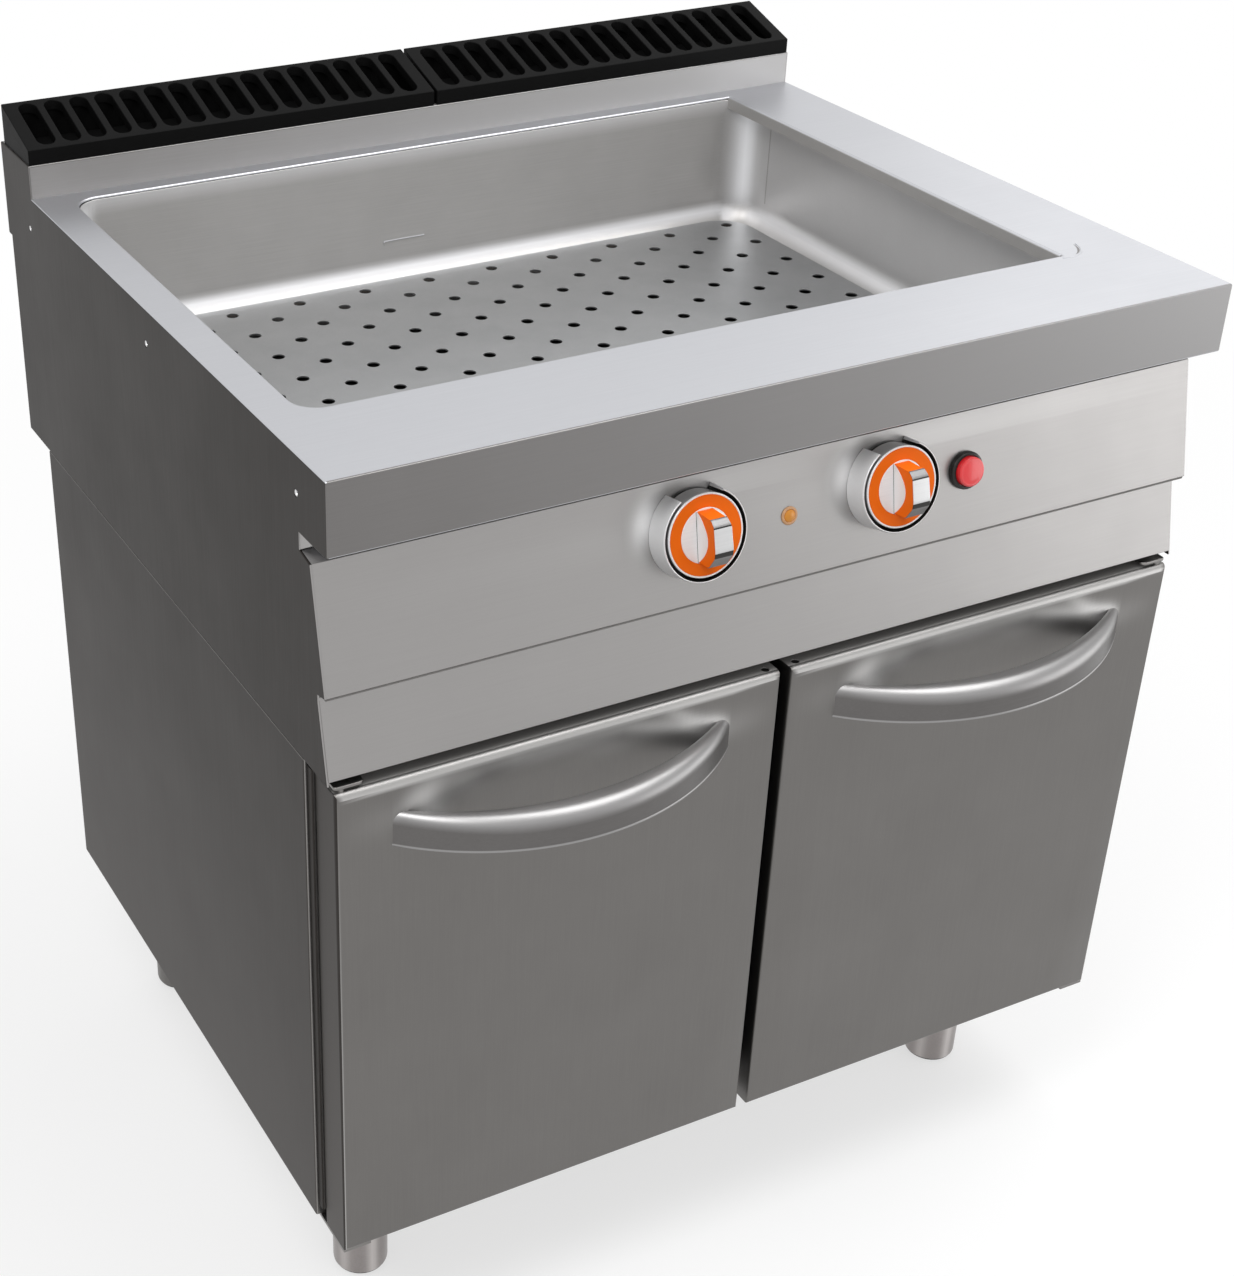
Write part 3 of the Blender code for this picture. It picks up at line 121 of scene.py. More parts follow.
def linear(colour: str) -> tuple[float, float, float, float]:
    """Turn an sRGB hex colour to linear.

    Args:
        colour: Six hex digits.

    Returns:
        Red, green, blue and an alpha of 1.
    """
    channels = [int(colour[i:i + 2], 16) / 255 for i in (0, 2, 4)]
    return (*(c / 12.92 if c <= 0.04045 else ((c + 0.055) / 1.055) ** 2.4 for c in channels), 1.0)


def inset(loop: Sequence[Vector], distance: float) -> list[Vector]:
    """Move a closed loop to its left.

    Args:
        loop: The loop's points.
        distance: How far it moves, which is inward for a loop that runs anticlockwise.

    Returns:
        The moved points.
    """
    if not distance:
        return [Vector(p) for p in loop]
    moved = []
    for i, here in enumerate(loop):
        before = (here - loop[i - 1]).normalized()
        after = (loop[(i + 1) % len(loop)] - here).normalized()
        first, second = Vector((-before.y, before.x)), Vector((-after.y, after.x))
        moved.append(here + (first + second) * distance / max(1 + first.dot(second), 0.2))
    return moved


def rounded(points: Sequence[Vector], radii: Sequence[float], closed: bool = True,
            steps: int = 6) -> list[Vector]:
    """Round the corners of a path.

    Args:
        points: The path's corners.
        radii: A radius for each corner, in metres, where 0 keeps it sharp.
        closed: Whether the path closes on itself.
        steps: How many pieces each arc has.

    Returns:
        The points of the rounded path.
    """
    path = []
    for i, here in enumerate(points):
        radius = radii[i]
        if not radius or (not closed and i in (0, len(points) - 1)):
            path.append(Vector(here))
            continue
        back = (points[i - 1] - here).normalized()
        ahead = (points[(i + 1) % len(points)] - here).normalized()
        half = back.angle(ahead) / 2
        centre = here + (back + ahead).normalized() * radius / math.sin(half)
        start, end = here + back * radius / math.tan(half), here + ahead * radius / math.tan(half)
        first, last = start - centre, end - centre
        turn = first.angle_signed(last)
        for step in range(steps + 1):
            angle = -turn * step / steps
            cos, sin = math.cos(angle), math.sin(angle)
            path.append(centre + Vector((first.x * cos - first.y * sin, first.x * sin + first.y * cos)))
    return path


def ribbon(path: Sequence[Vector], thickness: float) -> list[Vector]:
    """Give the closed outline of a sheet that lies left of an open path.

    Args:
        path: The path's points.
        thickness: The sheet's thickness.

    Returns:
        The outline: the path, and back along the sheet's other face.
    """
    inner = []
    for i, here in enumerate(path):
        before = (here - path[i - 1]).normalized() if i else None
        after = (path[i + 1] - here).normalized() if i + 1 < len(path) else None
        before, after = before or after, after or before
        first, second = Vector((-before.y, before.x)), Vector((-after.y, after.x))
        inner.append(here + (first + second) * thickness / (1 + first.dot(second)))
    return list(path) + inner[::-1]


def rectangle(u: tuple[float, float], v: tuple[float, float], radii: Sequence[float] = (0, 0, 0, 0),
              steps: int = 6) -> list[Vector]:
    """Draw a rectangle with a radius at each corner, anticlockwise from its low corner."""
    corners = [Vector(p) for p in ((u[0], v[0]), (u[1], v[0]), (u[1], v[1]), (u[0], v[1]))]
    return rounded(corners, radii, steps=steps)


def circle(u: float, v: float, radius: float, steps: int, way: int = -1) -> list[Vector]:
    """Draw a circle round a point, clockwise for a hole, or anticlockwise where way is 1."""
    angles = [way * math.tau * i / steps for i in range(steps)]
    return [Vector((u + radius * math.cos(a), v + radius * math.sin(a))) for a in angles]


def edges(thickness: float, low: float = 0.0, high: float = 0.0, steps: int = 3) -> list[tuple[float, float]]:
    """Give the levels of a plate with rounded edges.

    Args:
        thickness: The plate's thickness.
        low: The radius of the edge at its low face.
        high: The radius of the edge at its high face.
        steps: How many pieces each rounded edge has.

    Returns:
        An inset and a height for each level, from the low face to the high one.
    """
    quarter = [math.pi / 2 * i / steps for i in range(steps + 1)]
    foot = [(low * (1 - math.sin(a)), low * (1 - math.cos(a))) for a in quarter] if low else [(0.0, 0.0)]
    head = [(high * (1 - math.cos(a)), thickness - high * (1 - math.sin(a))) for a in quarter]
    return foot + (head if high else [(0.0, thickness)])


def bow(half: float, reach: float, t: float) -> tuple[float, float]:
    """Give a point of a shallow arc.

    Args:
        half: Half of the arc's chord.
        reach: How far its middle stands off the chord.
        t: Where the point lies, from -1 to 1.

    Returns:
        Its place along the chord and off it.
    """
    radius = (half * half + reach * reach) / (2 * reach)
    angle = math.asin(half / radius) * t
    return radius * math.sin(angle), radius * math.cos(angle) - radius + reach


class Form:
    """The mesh of one piece while it is being made."""

    def __init__(self) -> None:
        """Start with no points and no faces."""
        self.points: list[Vector] = []
        self.faces: list[tuple[int, ...]] = []

    def join(self, points: Sequence[Vector], faces: Sequence[Sequence[int]] = ()) -> int:
        """Add points and faces.

        Args:
            points: The points.
            faces: Faces that number those points from 0.

        Returns:
            The number that the first point has in the form.
        """
        start = len(self.points)
        self.points.extend(Vector(p) for p in points)
        self.faces.extend(tuple(start + i for i in face) for face in faces)
        return start

    def _cap(self, loops: Sequence[Sequence[Vector]], starts: Sequence[int]) -> None:
        """Close a flat loop and the holes in it with triangles.

        Args:
            loops: The loop, then its holes.
            starts: The number of the first point of each.
        """
        numbers = [start + i for loop, start in zip(loops, starts) for i in range(len(loop))]
        for triangle in tessellate_polygon(loops):
            self.faces.append(tuple(numbers[i] for i in triangle))

    def loft(self, rings: Sequence[Sequence[Vector]], closed: bool = True, first: bool = True,
             last: bool = True) -> "Form":
        """Join rings of equally many points.

        Args:
            rings: The rings, in order.
            closed: Whether each ring closes on itself.
            first: Whether the first ring is capped.
            last: Whether the last ring is capped.

        Returns:
            The form itself.
        """
        starts = [self.join(ring) for ring in rings]
        count = len(rings[0])
        for low, high in zip(starts, starts[1:]):
            for i in range(count if closed else count - 1):
                j = (i + 1) % count
                self.faces.append((low + i, low + j, high + j, high + i))
        if first:
            self.faces.append(tuple(range(starts[0], starts[0] + count)))
        if last:
            self.faces.append(tuple(range(starts[-1], starts[-1] + count)))
        return self

    def plate(self, outline: Sequence[Vector], levels: Sequence[tuple[float, float]], matrix: Matrix,
              holes: Sequence[Sequence[Vector]] = (), rim: bool = True) -> "Form":
        """Extrude an outline and its holes.

        Args:
            outline: The outer loop, anticlockwise.
            levels: An inset and a height for each level.
            matrix: Takes the outline's plane to the world.
            holes: The holes' loops, clockwise.
            rim: Whether the outer loop follows the insets as the holes do.

        Returns:
            The form itself.
        """
        loops = [outline, *holes]
        ends: list[list] = [[], []]
        for number, loop in enumerate(loops):
            rings = []
            for distance, height in levels:
                moved = inset(loop, distance if rim or number else 0.0)
                rings.append([matrix @ Vector((p.x, p.y, height)) for p in moved])
            first = len(self.points)
            self.loft(rings, first=False, last=False)
            ends[0].append((rings[0], first))
            ends[1].append((rings[-1], first + (len(rings) - 1) * len(loop)))
        for end in ends:
            self._cap([ring for ring, _ in end], [start for _, start in end])
        return self

    def fold(self, corners: Sequence[Vector], radii: Sequence[float], thickness: float,
             levels: Sequence[tuple[float, float]], matrix: Matrix, steps: int = 6) -> "Form":
        """Fold a sheet along a path and extrude it.

        Args:
            corners: The path's corners.
            radii: A bend radius for each corner, in millimetres.
            thickness: The sheet's thickness, in millimetres, to the left of the path.
            levels: An inset and a height for each level.
            matrix: Takes the path's plane to the world.
            steps: How many pieces each bend has.

        Returns:
            The form itself.
        """
        path = rounded(corners, [radius * MM for radius in radii], False, steps)
        return self.plate(ribbon(path, thickness * MM), levels, matrix)

    def turn(self, profile: Sequence[tuple[float, float]], matrix: Matrix, steps: int = 64,
             span: Optional[tuple[float, float]] = None, closed: bool = False) -> "Form":
        """Turn a profile of radius and height round the matrix's Z.

        Args:
            profile: The profile's points, in millimetres.
            matrix: The frame it turns in.
            steps: How many pieces the turn has.
            span: The first and last angle in degrees, or nothing for a whole turn.
            closed: Whether the profile closes on itself.

        Returns:
            The form itself.
        """
        start, end = span or (0.0, 360.0)
        count = steps + 1 if span else steps
        rings = []
        for i in range(count):
            angle = math.radians(start + (end - start) * i / steps)
            cos, sin = math.cos(angle), math.sin(angle)
            rings.append([matrix @ Vector((r * MM * cos, r * MM * sin, h * MM)) for r, h in profile])
        if not span:
            rings.append(rings[0])
        return self.loft(rings, closed=closed, first=bool(span), last=bool(span))

    def mesh(self, name: str) -> bpy.types.Mesh:
        """Finish the mesh, with its doubles merged and its faces turned outward.

        Args:
            name: The mesh's name.

        Returns:
            The mesh.
        """
        data = bpy.data.meshes.new(name)
        data.from_pydata([tuple(p) for p in self.points], [], self.faces)
        work = bmesh.new()
        work.from_mesh(data)
        bmesh.ops.remove_doubles(work, verts=work.verts, dist=0.002 * MM)
        bmesh.ops.recalc_face_normals(work, faces=work.faces)
        work.to_mesh(data)
        work.free()
        return data


def add_node(tree: bpy.types.NodeTree, kind: str, settings: Optional[dict] = None,
             links: Optional[dict] = None) -> bpy.types.Node:
    """Add a node with its settings and links.

    Args:
        tree: The tree that gets the node.
        kind: The node's type.
        settings: Values by attribute, socket name or socket number.
        links: Sockets that feed it, by socket name or number.

    Returns:
        The node.
    """
    node = tree.nodes.new(kind)
    for key, value in (settings or {}).items():
        if isinstance(key, str) and hasattr(node, key):
            setattr(node, key, value)
        else:
            node.inputs[key].default_value = value
    for key, source in (links or {}).items():
        tree.links.new(source, node.inputs[key])
    return node


def noise(tree: bpy.types.NodeTree, place: bpy.types.NodeSocket, scale: float, detail: float,
          rough: float = 0.5) -> bpy.types.NodeSocket:
    """Add a noise pattern at a place and give its output."""
    settings = {"Scale": scale, "Detail": detail, "Roughness": rough}
    return add_node(tree, "ShaderNodeTexNoise", settings, {"Vector": place}).outputs["Fac"]


def fresh_tree(owner: bpy.types.ID) -> bpy.types.NodeTree:
    """Turn on the nodes of a material or a world and empty its tree.

    Args:
        owner: The material or the world.

    Returns:
        The empty tree.
    """
    owner.use_nodes = True
    owner.node_tree.nodes.clear()
    return owner.node_tree


@dataclass(frozen=True)
class Finish:
    """A material and how its face was made. Each kind adds its own nodes."""

    name: str
    slot: str
    colour: str

    def material(self) -> bpy.types.Material:
        """Give the finish's material, made once.

        Returns:
            The material.
        """
        made = bpy.data.materials.get(self.name)
        if not made:
            made = bpy.data.materials.new(self.name)
            made.diffuse_color = linear(self.colour)
            tree = fresh_tree(made)
            settings, links = self.dress(tree)
            settings["Base Color"] = linear(self.colour)
            shader = add_node(tree, "ShaderNodeBsdfPrincipled", settings, links)
            add_node(tree, "ShaderNodeOutputMaterial", links={"Surface": shader.outputs["BSDF"]})
        return made

    def dress(self, tree: bpy.types.NodeTree) -> tuple[dict, dict]:
        """Add the finish's own nodes, and give the shader's settings and links."""
        return {}, {}


@dataclass(frozen=True)
class Steel(Finish):
    """Stainless or galvanised sheet with brush lines and soft patches, and painted light where a piece marks it.
    """

    shade: str = "000000"
    roughness: float = 0.35
    metallic: float = 1.0
    grain: Grain = Grain.ACROSS
    line: float = 0.9
    patch: float = 90.0
    relief: float = 0.001
    swing: float = 0.03
    burnish: str = ""
    polish: float = 0.3
    rim: float = 1.0

    def dress(self, tree: bpy.types.NodeTree) -> tuple[dict, dict]:
        """Add brush lines, patches and the sheen that changes with them, and mix in the painted light colour and
        roughness where a piece marks painted light.

        Args:
            tree: The material's tree.

        Returns:
            The shader's settings and links.
        """
        place = add_node(tree, "ShaderNodeTexCoord").outputs["Object"]
        lines = add_node(tree, "ShaderNodeMapping",
                         {"Scale": tuple(s / (self.line * MM) for s in self.grain.value)}, {"Vector": place})
        brush = noise(tree, lines.outputs[0], 1.0, 3.0, 0.6)
        cloud = noise(tree, place, 1 / (self.patch * MM), 4.0, 0.55)
        worn = add_node(tree, "ShaderNodeMath", {"operation": "ADD"}, {0: brush, 1: cloud}).outputs[0]
        share = add_node(tree, "ShaderNodeMapRange", {"From Min": 0.6, "From Max": 1.4}, {"Value": worn})
        tint = add_node(tree, "ShaderNodeMix",
                        {"data_type": "RGBA", 6: linear(self.shade), 7: linear(self.colour)},
                        {0: share.outputs[0]}).outputs[2]
        sheen = add_node(tree, "ShaderNodeMapRange",
                         {"From Min": 0.6, "From Max": 1.4, "To Min": self.roughness + self.swing,
                          "To Max": self.roughness - self.swing}, {"Value": worn}).outputs[0]
        # Painted light: highlights, reflections and gradients of light mixed into the colour where the piece's
        # attribute says.
        if self.burnish:
            worked = add_node(tree, "ShaderNodeAttribute", {"attribute_name": "burnish"}).outputs["Fac"]
            tint = add_node(tree, "ShaderNodeMix", {"data_type": "RGBA", 7: linear(self.burnish)},
                            {0: worked, 6: tint}).outputs[2]
            sheen = add_node(tree, "ShaderNodeMix", {"data_type": "FLOAT", 3: self.polish},
                             {0: worked, 2: sheen}).outputs[0]
        bump = add_node(tree, "ShaderNodeBump", {"Strength": 0.5, "Distance": self.relief * MM},
                        {"Height": brush})
        settings = {"Metallic": self.metallic, "Specular Tint": (self.rim, self.rim, self.rim, 1.0)}
        return settings, {"Base Color": tint, "Roughness": sheen, "Normal": bump.outputs[0]}


@dataclass(frozen=True)
class Moulded(Finish):
    """Moulded or lacquered plastic, or enamel, with a fine spark-eroded or orange-peel face."""

    roughness: float = 0.35
    coat: float = 0.0
    texture: float = 0.6
    relief: float = 0.01
    fade: float = 0.06
    specular: float = 0.5
    glow: float = 0.0

    def dress(self, tree: bpy.types.NodeTree) -> tuple[dict, dict]:
        """Add the fine texture, its sheen and a slight unevenness of colour.

        Args:
            tree: The material's tree.

        Returns:
            The shader's settings and links.
        """
        place = add_node(tree, "ShaderNodeTexCoord").outputs["Object"]
        fine = noise(tree, place, 1 / (self.texture * MM), 2.0)
        broad = noise(tree, place, 1 / (30 * MM), 3.0)
        base = linear(self.colour)
        dull = tuple(c * (1 - self.fade) for c in base[:3]) + (1.0,)
        tint = add_node(tree, "ShaderNodeMix", {"data_type": "RGBA", 6: dull, 7: base}, {0: broad})
        sheen = add_node(tree, "ShaderNodeMapRange",
                         {"To Min": self.roughness - 0.04, "To Max": self.roughness + 0.06}, {"Value": broad})
        bump = add_node(tree, "ShaderNodeBump", {"Strength": 0.6, "Distance": self.relief * MM},
                        {"Height": fine})
        settings = {"Specular IOR Level": self.specular, "Coat Weight": self.coat, "Coat Roughness": 0.08}
        if self.glow:
            settings |= {"Emission Color": base, "Emission Strength": self.glow}
        return settings, {"Base Color": tint.outputs[2], "Roughness": sheen.outputs[0], "Normal": bump.outputs[0]}


# The steels here are copies of one stainless sheet, each in a tone that paints the light or shade its faces get:
# pale where they look up, darker where they stand upright or turn away. Each painted light colour paints
# highlights, reflections and gradients of light that a piece marks point by point.
# Worktop sheet, 304 stainless, brushed along its length: pale and even, the lit copy of the steel, with a soft
# sheen.
# Real brush lines are about 0.2 mm apart. They are drawn 0.9 mm apart so that they show.
TOP_STEEL = Steel("brushed_stainless_top", "brushed_stainless", "BEBFC3", shade="B8B9BD", roughness=0.42)
# The same sheet where it turns down, in a mid grey that paints its shade; its painted light colour paints a
# gradient of light toward the right end.
SKIRT_STEEL = Steel("brushed_stainless_skirt", "brushed_stainless", "7B7978", shade="757372", roughness=0.42,
                    burnish="908F8F", polish=0.42)
# Front panels, brushed finer: mid grey with soft patches, a shaded copy of the steel; its white painted light
# colour paints the light each knob collar throws on the panel.
PANEL_STEEL = Steel("brushed_stainless_front", "brushed_stainless", "9D9B9A", shade="999796", roughness=0.36,
                    burnish="FFFFFF", polish=0.36)
# Doors, a satin brushing in a dark, even tone that paints the shade of upright faces; its painted light colour
# paints highlights on the bends and round the dish.
DOOR_STEEL = Steel("satin_stainless_door", "brushed_stainless", "757371", shade="706E6C", roughness=0.40,
                   grain=Grain.UPRIGHT, burnish="EFEEED", polish=0.55)
# Side plates and faces turned from the light: the darkest steel here, painted shade; its painted light colour
# paints lighter stretches where more light falls.
SIDE_STEEL = Steel("mill_stainless_side", "brushed_stainless", "3A3735", shade="33302E", roughness=0.46,
                   grain=Grain.UPRIGHT, rim=0.86, burnish="5D5A58", polish=0.46)
# Pressed and pickled well: satin and slightly matt, with long soft bands of painted highlight along its rounded
# corners.
WELL_STEEL = Steel("pressed_stainless_well", "brushed_stainless", "AEACAA", shade="A2A09E", roughness=0.42,
                   metallic=0.55, patch=60.0, burnish="FAFAFC", polish=0.32)
# The well's floor under the plate, painted dark brown-grey as the shade under the plate.
FLOOR_STEEL = Steel("heat_dulled_stainless_floor", "brushed_stainless", "34312F", shade="2A2826",
                    roughness=0.6, grain=Grain.NONE, patch=40.0)
# Perforated plate, laser-cut from 2B sheet: smoother, with clouded reflections.
PLATE_STEEL = Steel("perforated_stainless_plate", "brushed_stainless", "B2B3B4", shade="A1A2A3",
                    roughness=0.34, metallic=0.85, patch=45.0, grain=Grain.NONE)
# Polished handle: close to the doors' tone, smoother, with faint draw lines along its length; its painted light
# colour paints the highlight over its rounded top and lip.
HANDLE_STEEL = Steel("polished_stainless_handle", "brushed_stainless", "6C6A69", shade="666463",
                     roughness=0.34, line=1.4, relief=0.0003, burnish="F4F4F5", polish=0.6)
# Upstand under the grilles, satin and a little matt: even light grey; its painted light colour paints a gradient
# of light toward the right end.
UPSTAND_STEEL = Steel("satin_stainless_upstand", "brushed_stainless", "918F8E", shade="898786", roughness=0.6,
                      metallic=0.5, burnish="B0AFAF", polish=0.6)
# The doors' top flange, bright sheet that lies in the shade of the fascia.
FLANGE_STEEL = Steel("satin_stainless_flange", "brushed_stainless", "A5A3A1", shade="9C9A98", roughness=0.5,
                     metallic=0.3)
# Bent hinge and frame sheet inside: satin and a little dark.
FRAME_STEEL = Steel("satin_stainless_frame", "satin_stainless", "8C8A88", shade="7A7876", roughness=0.38)
# Turned feet, brushed round: warm grey; its painted light colour paints two bright highlight bands in front.
FOOT_STEEL = Steel("turned_stainless_foot", "brushed_stainless", "9C9694", shade="8A8584", roughness=0.3,
                   relief=0.0003, burnish="C9C4C2")
# Hidden back and base sheets, zinc-coated: matt with grey spangle.
ZINC = Steel("galvanised_sheet", "galvanised", "9EA09F", shade="868988", roughness=0.5, grain=Grain.NONE,
             line=8.0, patch=16.0)
# Knob collar, satin chrome over ABS.
SATIN_CHROME = Steel("satin_chrome_collar", "chromed_plastic", "F6F6F6", shade="ECECED", roughness=0.3,
                     metallic=0.15, line=0.5, relief=0.0005)
# Drum of the knob under pewter lacquer: mid grey in its collar's shade, with a metal gleam.
PEWTER = Steel("pewter_lacquered_abs", "chromed_plastic", "C9C8C8", shade="BBBABA", roughness=0.34,
               metallic=0.4, relief=0.0005)
# Bright chrome of the bushes behind the side holes.
BRIGHT_CHROME = Steel("bright_chrome_rim", "chromed_plastic", "E2E2E3", shade="D6D6D8", roughness=0.12,
                      swing=0.02, relief=0.001)
# Silver lacquer of the knob's face: nearly white, more paint than metal.
SILVER = Steel("silver_lacquered_abs", "chromed_plastic", "FAFAFA", shade="EFEFF0", roughness=0.34,
               metallic=0.1, swing=0.02, relief=0.0005)
# Silver foil of the strap over the grip: a shade darker, and more of a mirror.
STRAP = Steel("silver_foiled_abs", "chromed_plastic", "D0D0D0", shade="C2C2C3", roughness=0.3,
              metallic=0.7, swing=0.02, relief=0.0005)
# The same foil on the strap's bent ends, painted darker as shade.
STRAP_END = Steel("rubbed_silver_foiled_abs", "chromed_plastic", "8C8B8B", shade="7E7D7D", roughness=0.46,
                  metallic=0.8, swing=0.02, relief=0.0005)
# Nickel-plated brass of the drain valve.
NICKEL = Steel("nickelled_brass_valve", "brass", "B8AE92", shade="A89E84", roughness=0.3, grain=Grain.NONE)
# Cast-iron grilles under matt black enamel: nearly black, with a fine orange peel.
ENAMEL = Moulded("black_enamelled_cast_iron", "enamelled_iron", "0A0A0A", roughness=0.5, texture=1.6,
                 relief=0.08, specular=0.06)
# Orange ABS of the knob rings and grips: satin and saturated, with a faint glow that is painted light.
ORANGE = Moulded("orange_moulded_abs", "orange_plastic", "EE6C14", roughness=0.42, specular=0.1, glow=0.08)
# Black glass-filled nylon of the bezel, inlays, catches and boxes.
BLACK = Moulded("black_moulded_nylon", "black_plastic", "1B1917", roughness=0.34, specular=0.4)
# Grey silicone seal under the control panel: matt, nearly the panels' tone.
SEAL = Moulded("grey_silicone_seal", "black_plastic", "A19E9C", roughness=0.7, specular=0.2)
# Red and amber polycarbonate lenses: glossy, lit from within a little.
RED_LENS = Moulded("red_polycarbonate_cap", "red_plastic", "E62A30", roughness=0.22, coat=0.5, glow=0.12)
AMBER_LENS = Moulded("amber_polycarbonate_lens", "amber_lens", "DD8F20", roughness=0.3, coat=0.3, glow=0.1)
PEACH_RING = Moulded("pale_orange_lamp_ring", "amber_lens", "E3B184", roughness=0.4)


def add_object(name: str, data: bpy.types.ID) -> bpy.types.Object:
    """Put an object with its data in the scene.

    Args:
        name: Its name.
        data: Its data.

    Returns:
        The object.
    """
    made = bpy.data.objects.new(name, data)
    bpy.context.scene.collection.objects.link(made)
    return made


def piece(name: str, form: Form, finish: Finish, body: str = "cabinet", nodes: Sequence[str] = (),
          crease: float = 38.0) -> bpy.types.Object:
    """Put a finished piece in the scene.

    Args:
        name: The piece's name.
        form: Its form.
        finish: Its finish.
        body: The body that it rides on.
        nodes: The frame's nodes that it stands for.
        crease: The angle in degrees past which an edge shows.

    Returns:
        The piece.
    """
    mesh = form.mesh(name)
    mesh.materials.append(finish.material())
    mesh.shade_smooth()
    mesh.set_sharp_from_angle(angle=math.radians(crease))
    thing = add_object(name, mesh)
    thing.modifiers.new("even_shading", "WEIGHTED_NORMAL").keep_sharp = True
    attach(thing, body)
    if nodes:
        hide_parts(*nodes)
    LOG.info("%s: %s on %s, %d faces", name, finish.name, body, len(mesh.polygons))
    return thing


def dress(node: str, finish: Finish) -> None:
    """Give one of the frame's own nodes its finish."""
    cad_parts[node].data.materials[0] = finish.material()
    LOG.info("%s: %s, as in the frame", node, finish.name)


def refinish(thing: bpy.types.Object, finish: Finish, test: Callable[[Vector, Vector], bool]) -> None:
    """Give some faces of a piece another finish.

    Args:
        thing: The piece.
        finish: The finish of those faces.
        test: Tells from a face's normal and middle whether it is one of them.
    """
    thing.data.materials.append(finish.material())
    last = len(thing.data.materials) - 1
    for face in thing.data.polygons:
        if test(face.normal, face.center):
            face.material_index = last


def burnish(thing: bpy.types.Object, weight: Callable[[Vector, Vector], float]) -> None:
    """Mark the share of painted light at each point of a piece.

    Args:
        thing: The piece.
        weight: Gives the share from a point's place and normal.
    """
    marks = thing.data.attributes.new("burnish", "FLOAT", "POINT")
    for vertex, mark in zip(thing.data.vertices, marks.data):
        mark.value = within(weight(vertex.co, vertex.normal))


def within(share: float) -> float:
    """Hold a share between 0 and 1."""
    return max(0.0, min(1.0, share))


def rightward(place: Vector, normal: Vector) -> float:
    """Give a share that grows from the cabinet's left end to its right end."""
    return 0.5 + place.x / (2 * HALF)


def bell(*offsets: float) -> float:
    """Give a share that is 1 where every offset is 0, and falls off smoothly past 1."""
    return math.exp(-sum(offset ** 2 for offset in offsets))


def block(low: Sequence[float], high: Sequence[float], edge: float) -> Form:
    """Make a block with rounded edges.

    Args:
        low: Its low corner, in metres.
        high: Its high corner, in metres.
        edge: The radius of its edges, in millimetres.

    Returns:
        The form.
    """
    radius = edge * MM
    outline = rectangle((low[0], high[0]), (low[1], high[1]), [radius] * 4, 3)
    return Form().plate(outline, edges(high[2] - low[2], radius, radius), Matrix.Translation((0, 0, low[2])))


@dataclass
class Sided:
    """What stands once on each side of the cabinet."""

    side: Side

    def named(self, stem: str) -> str:
        """Give a name that ends with the side's word."""
        return stem + "_" + self.side.word


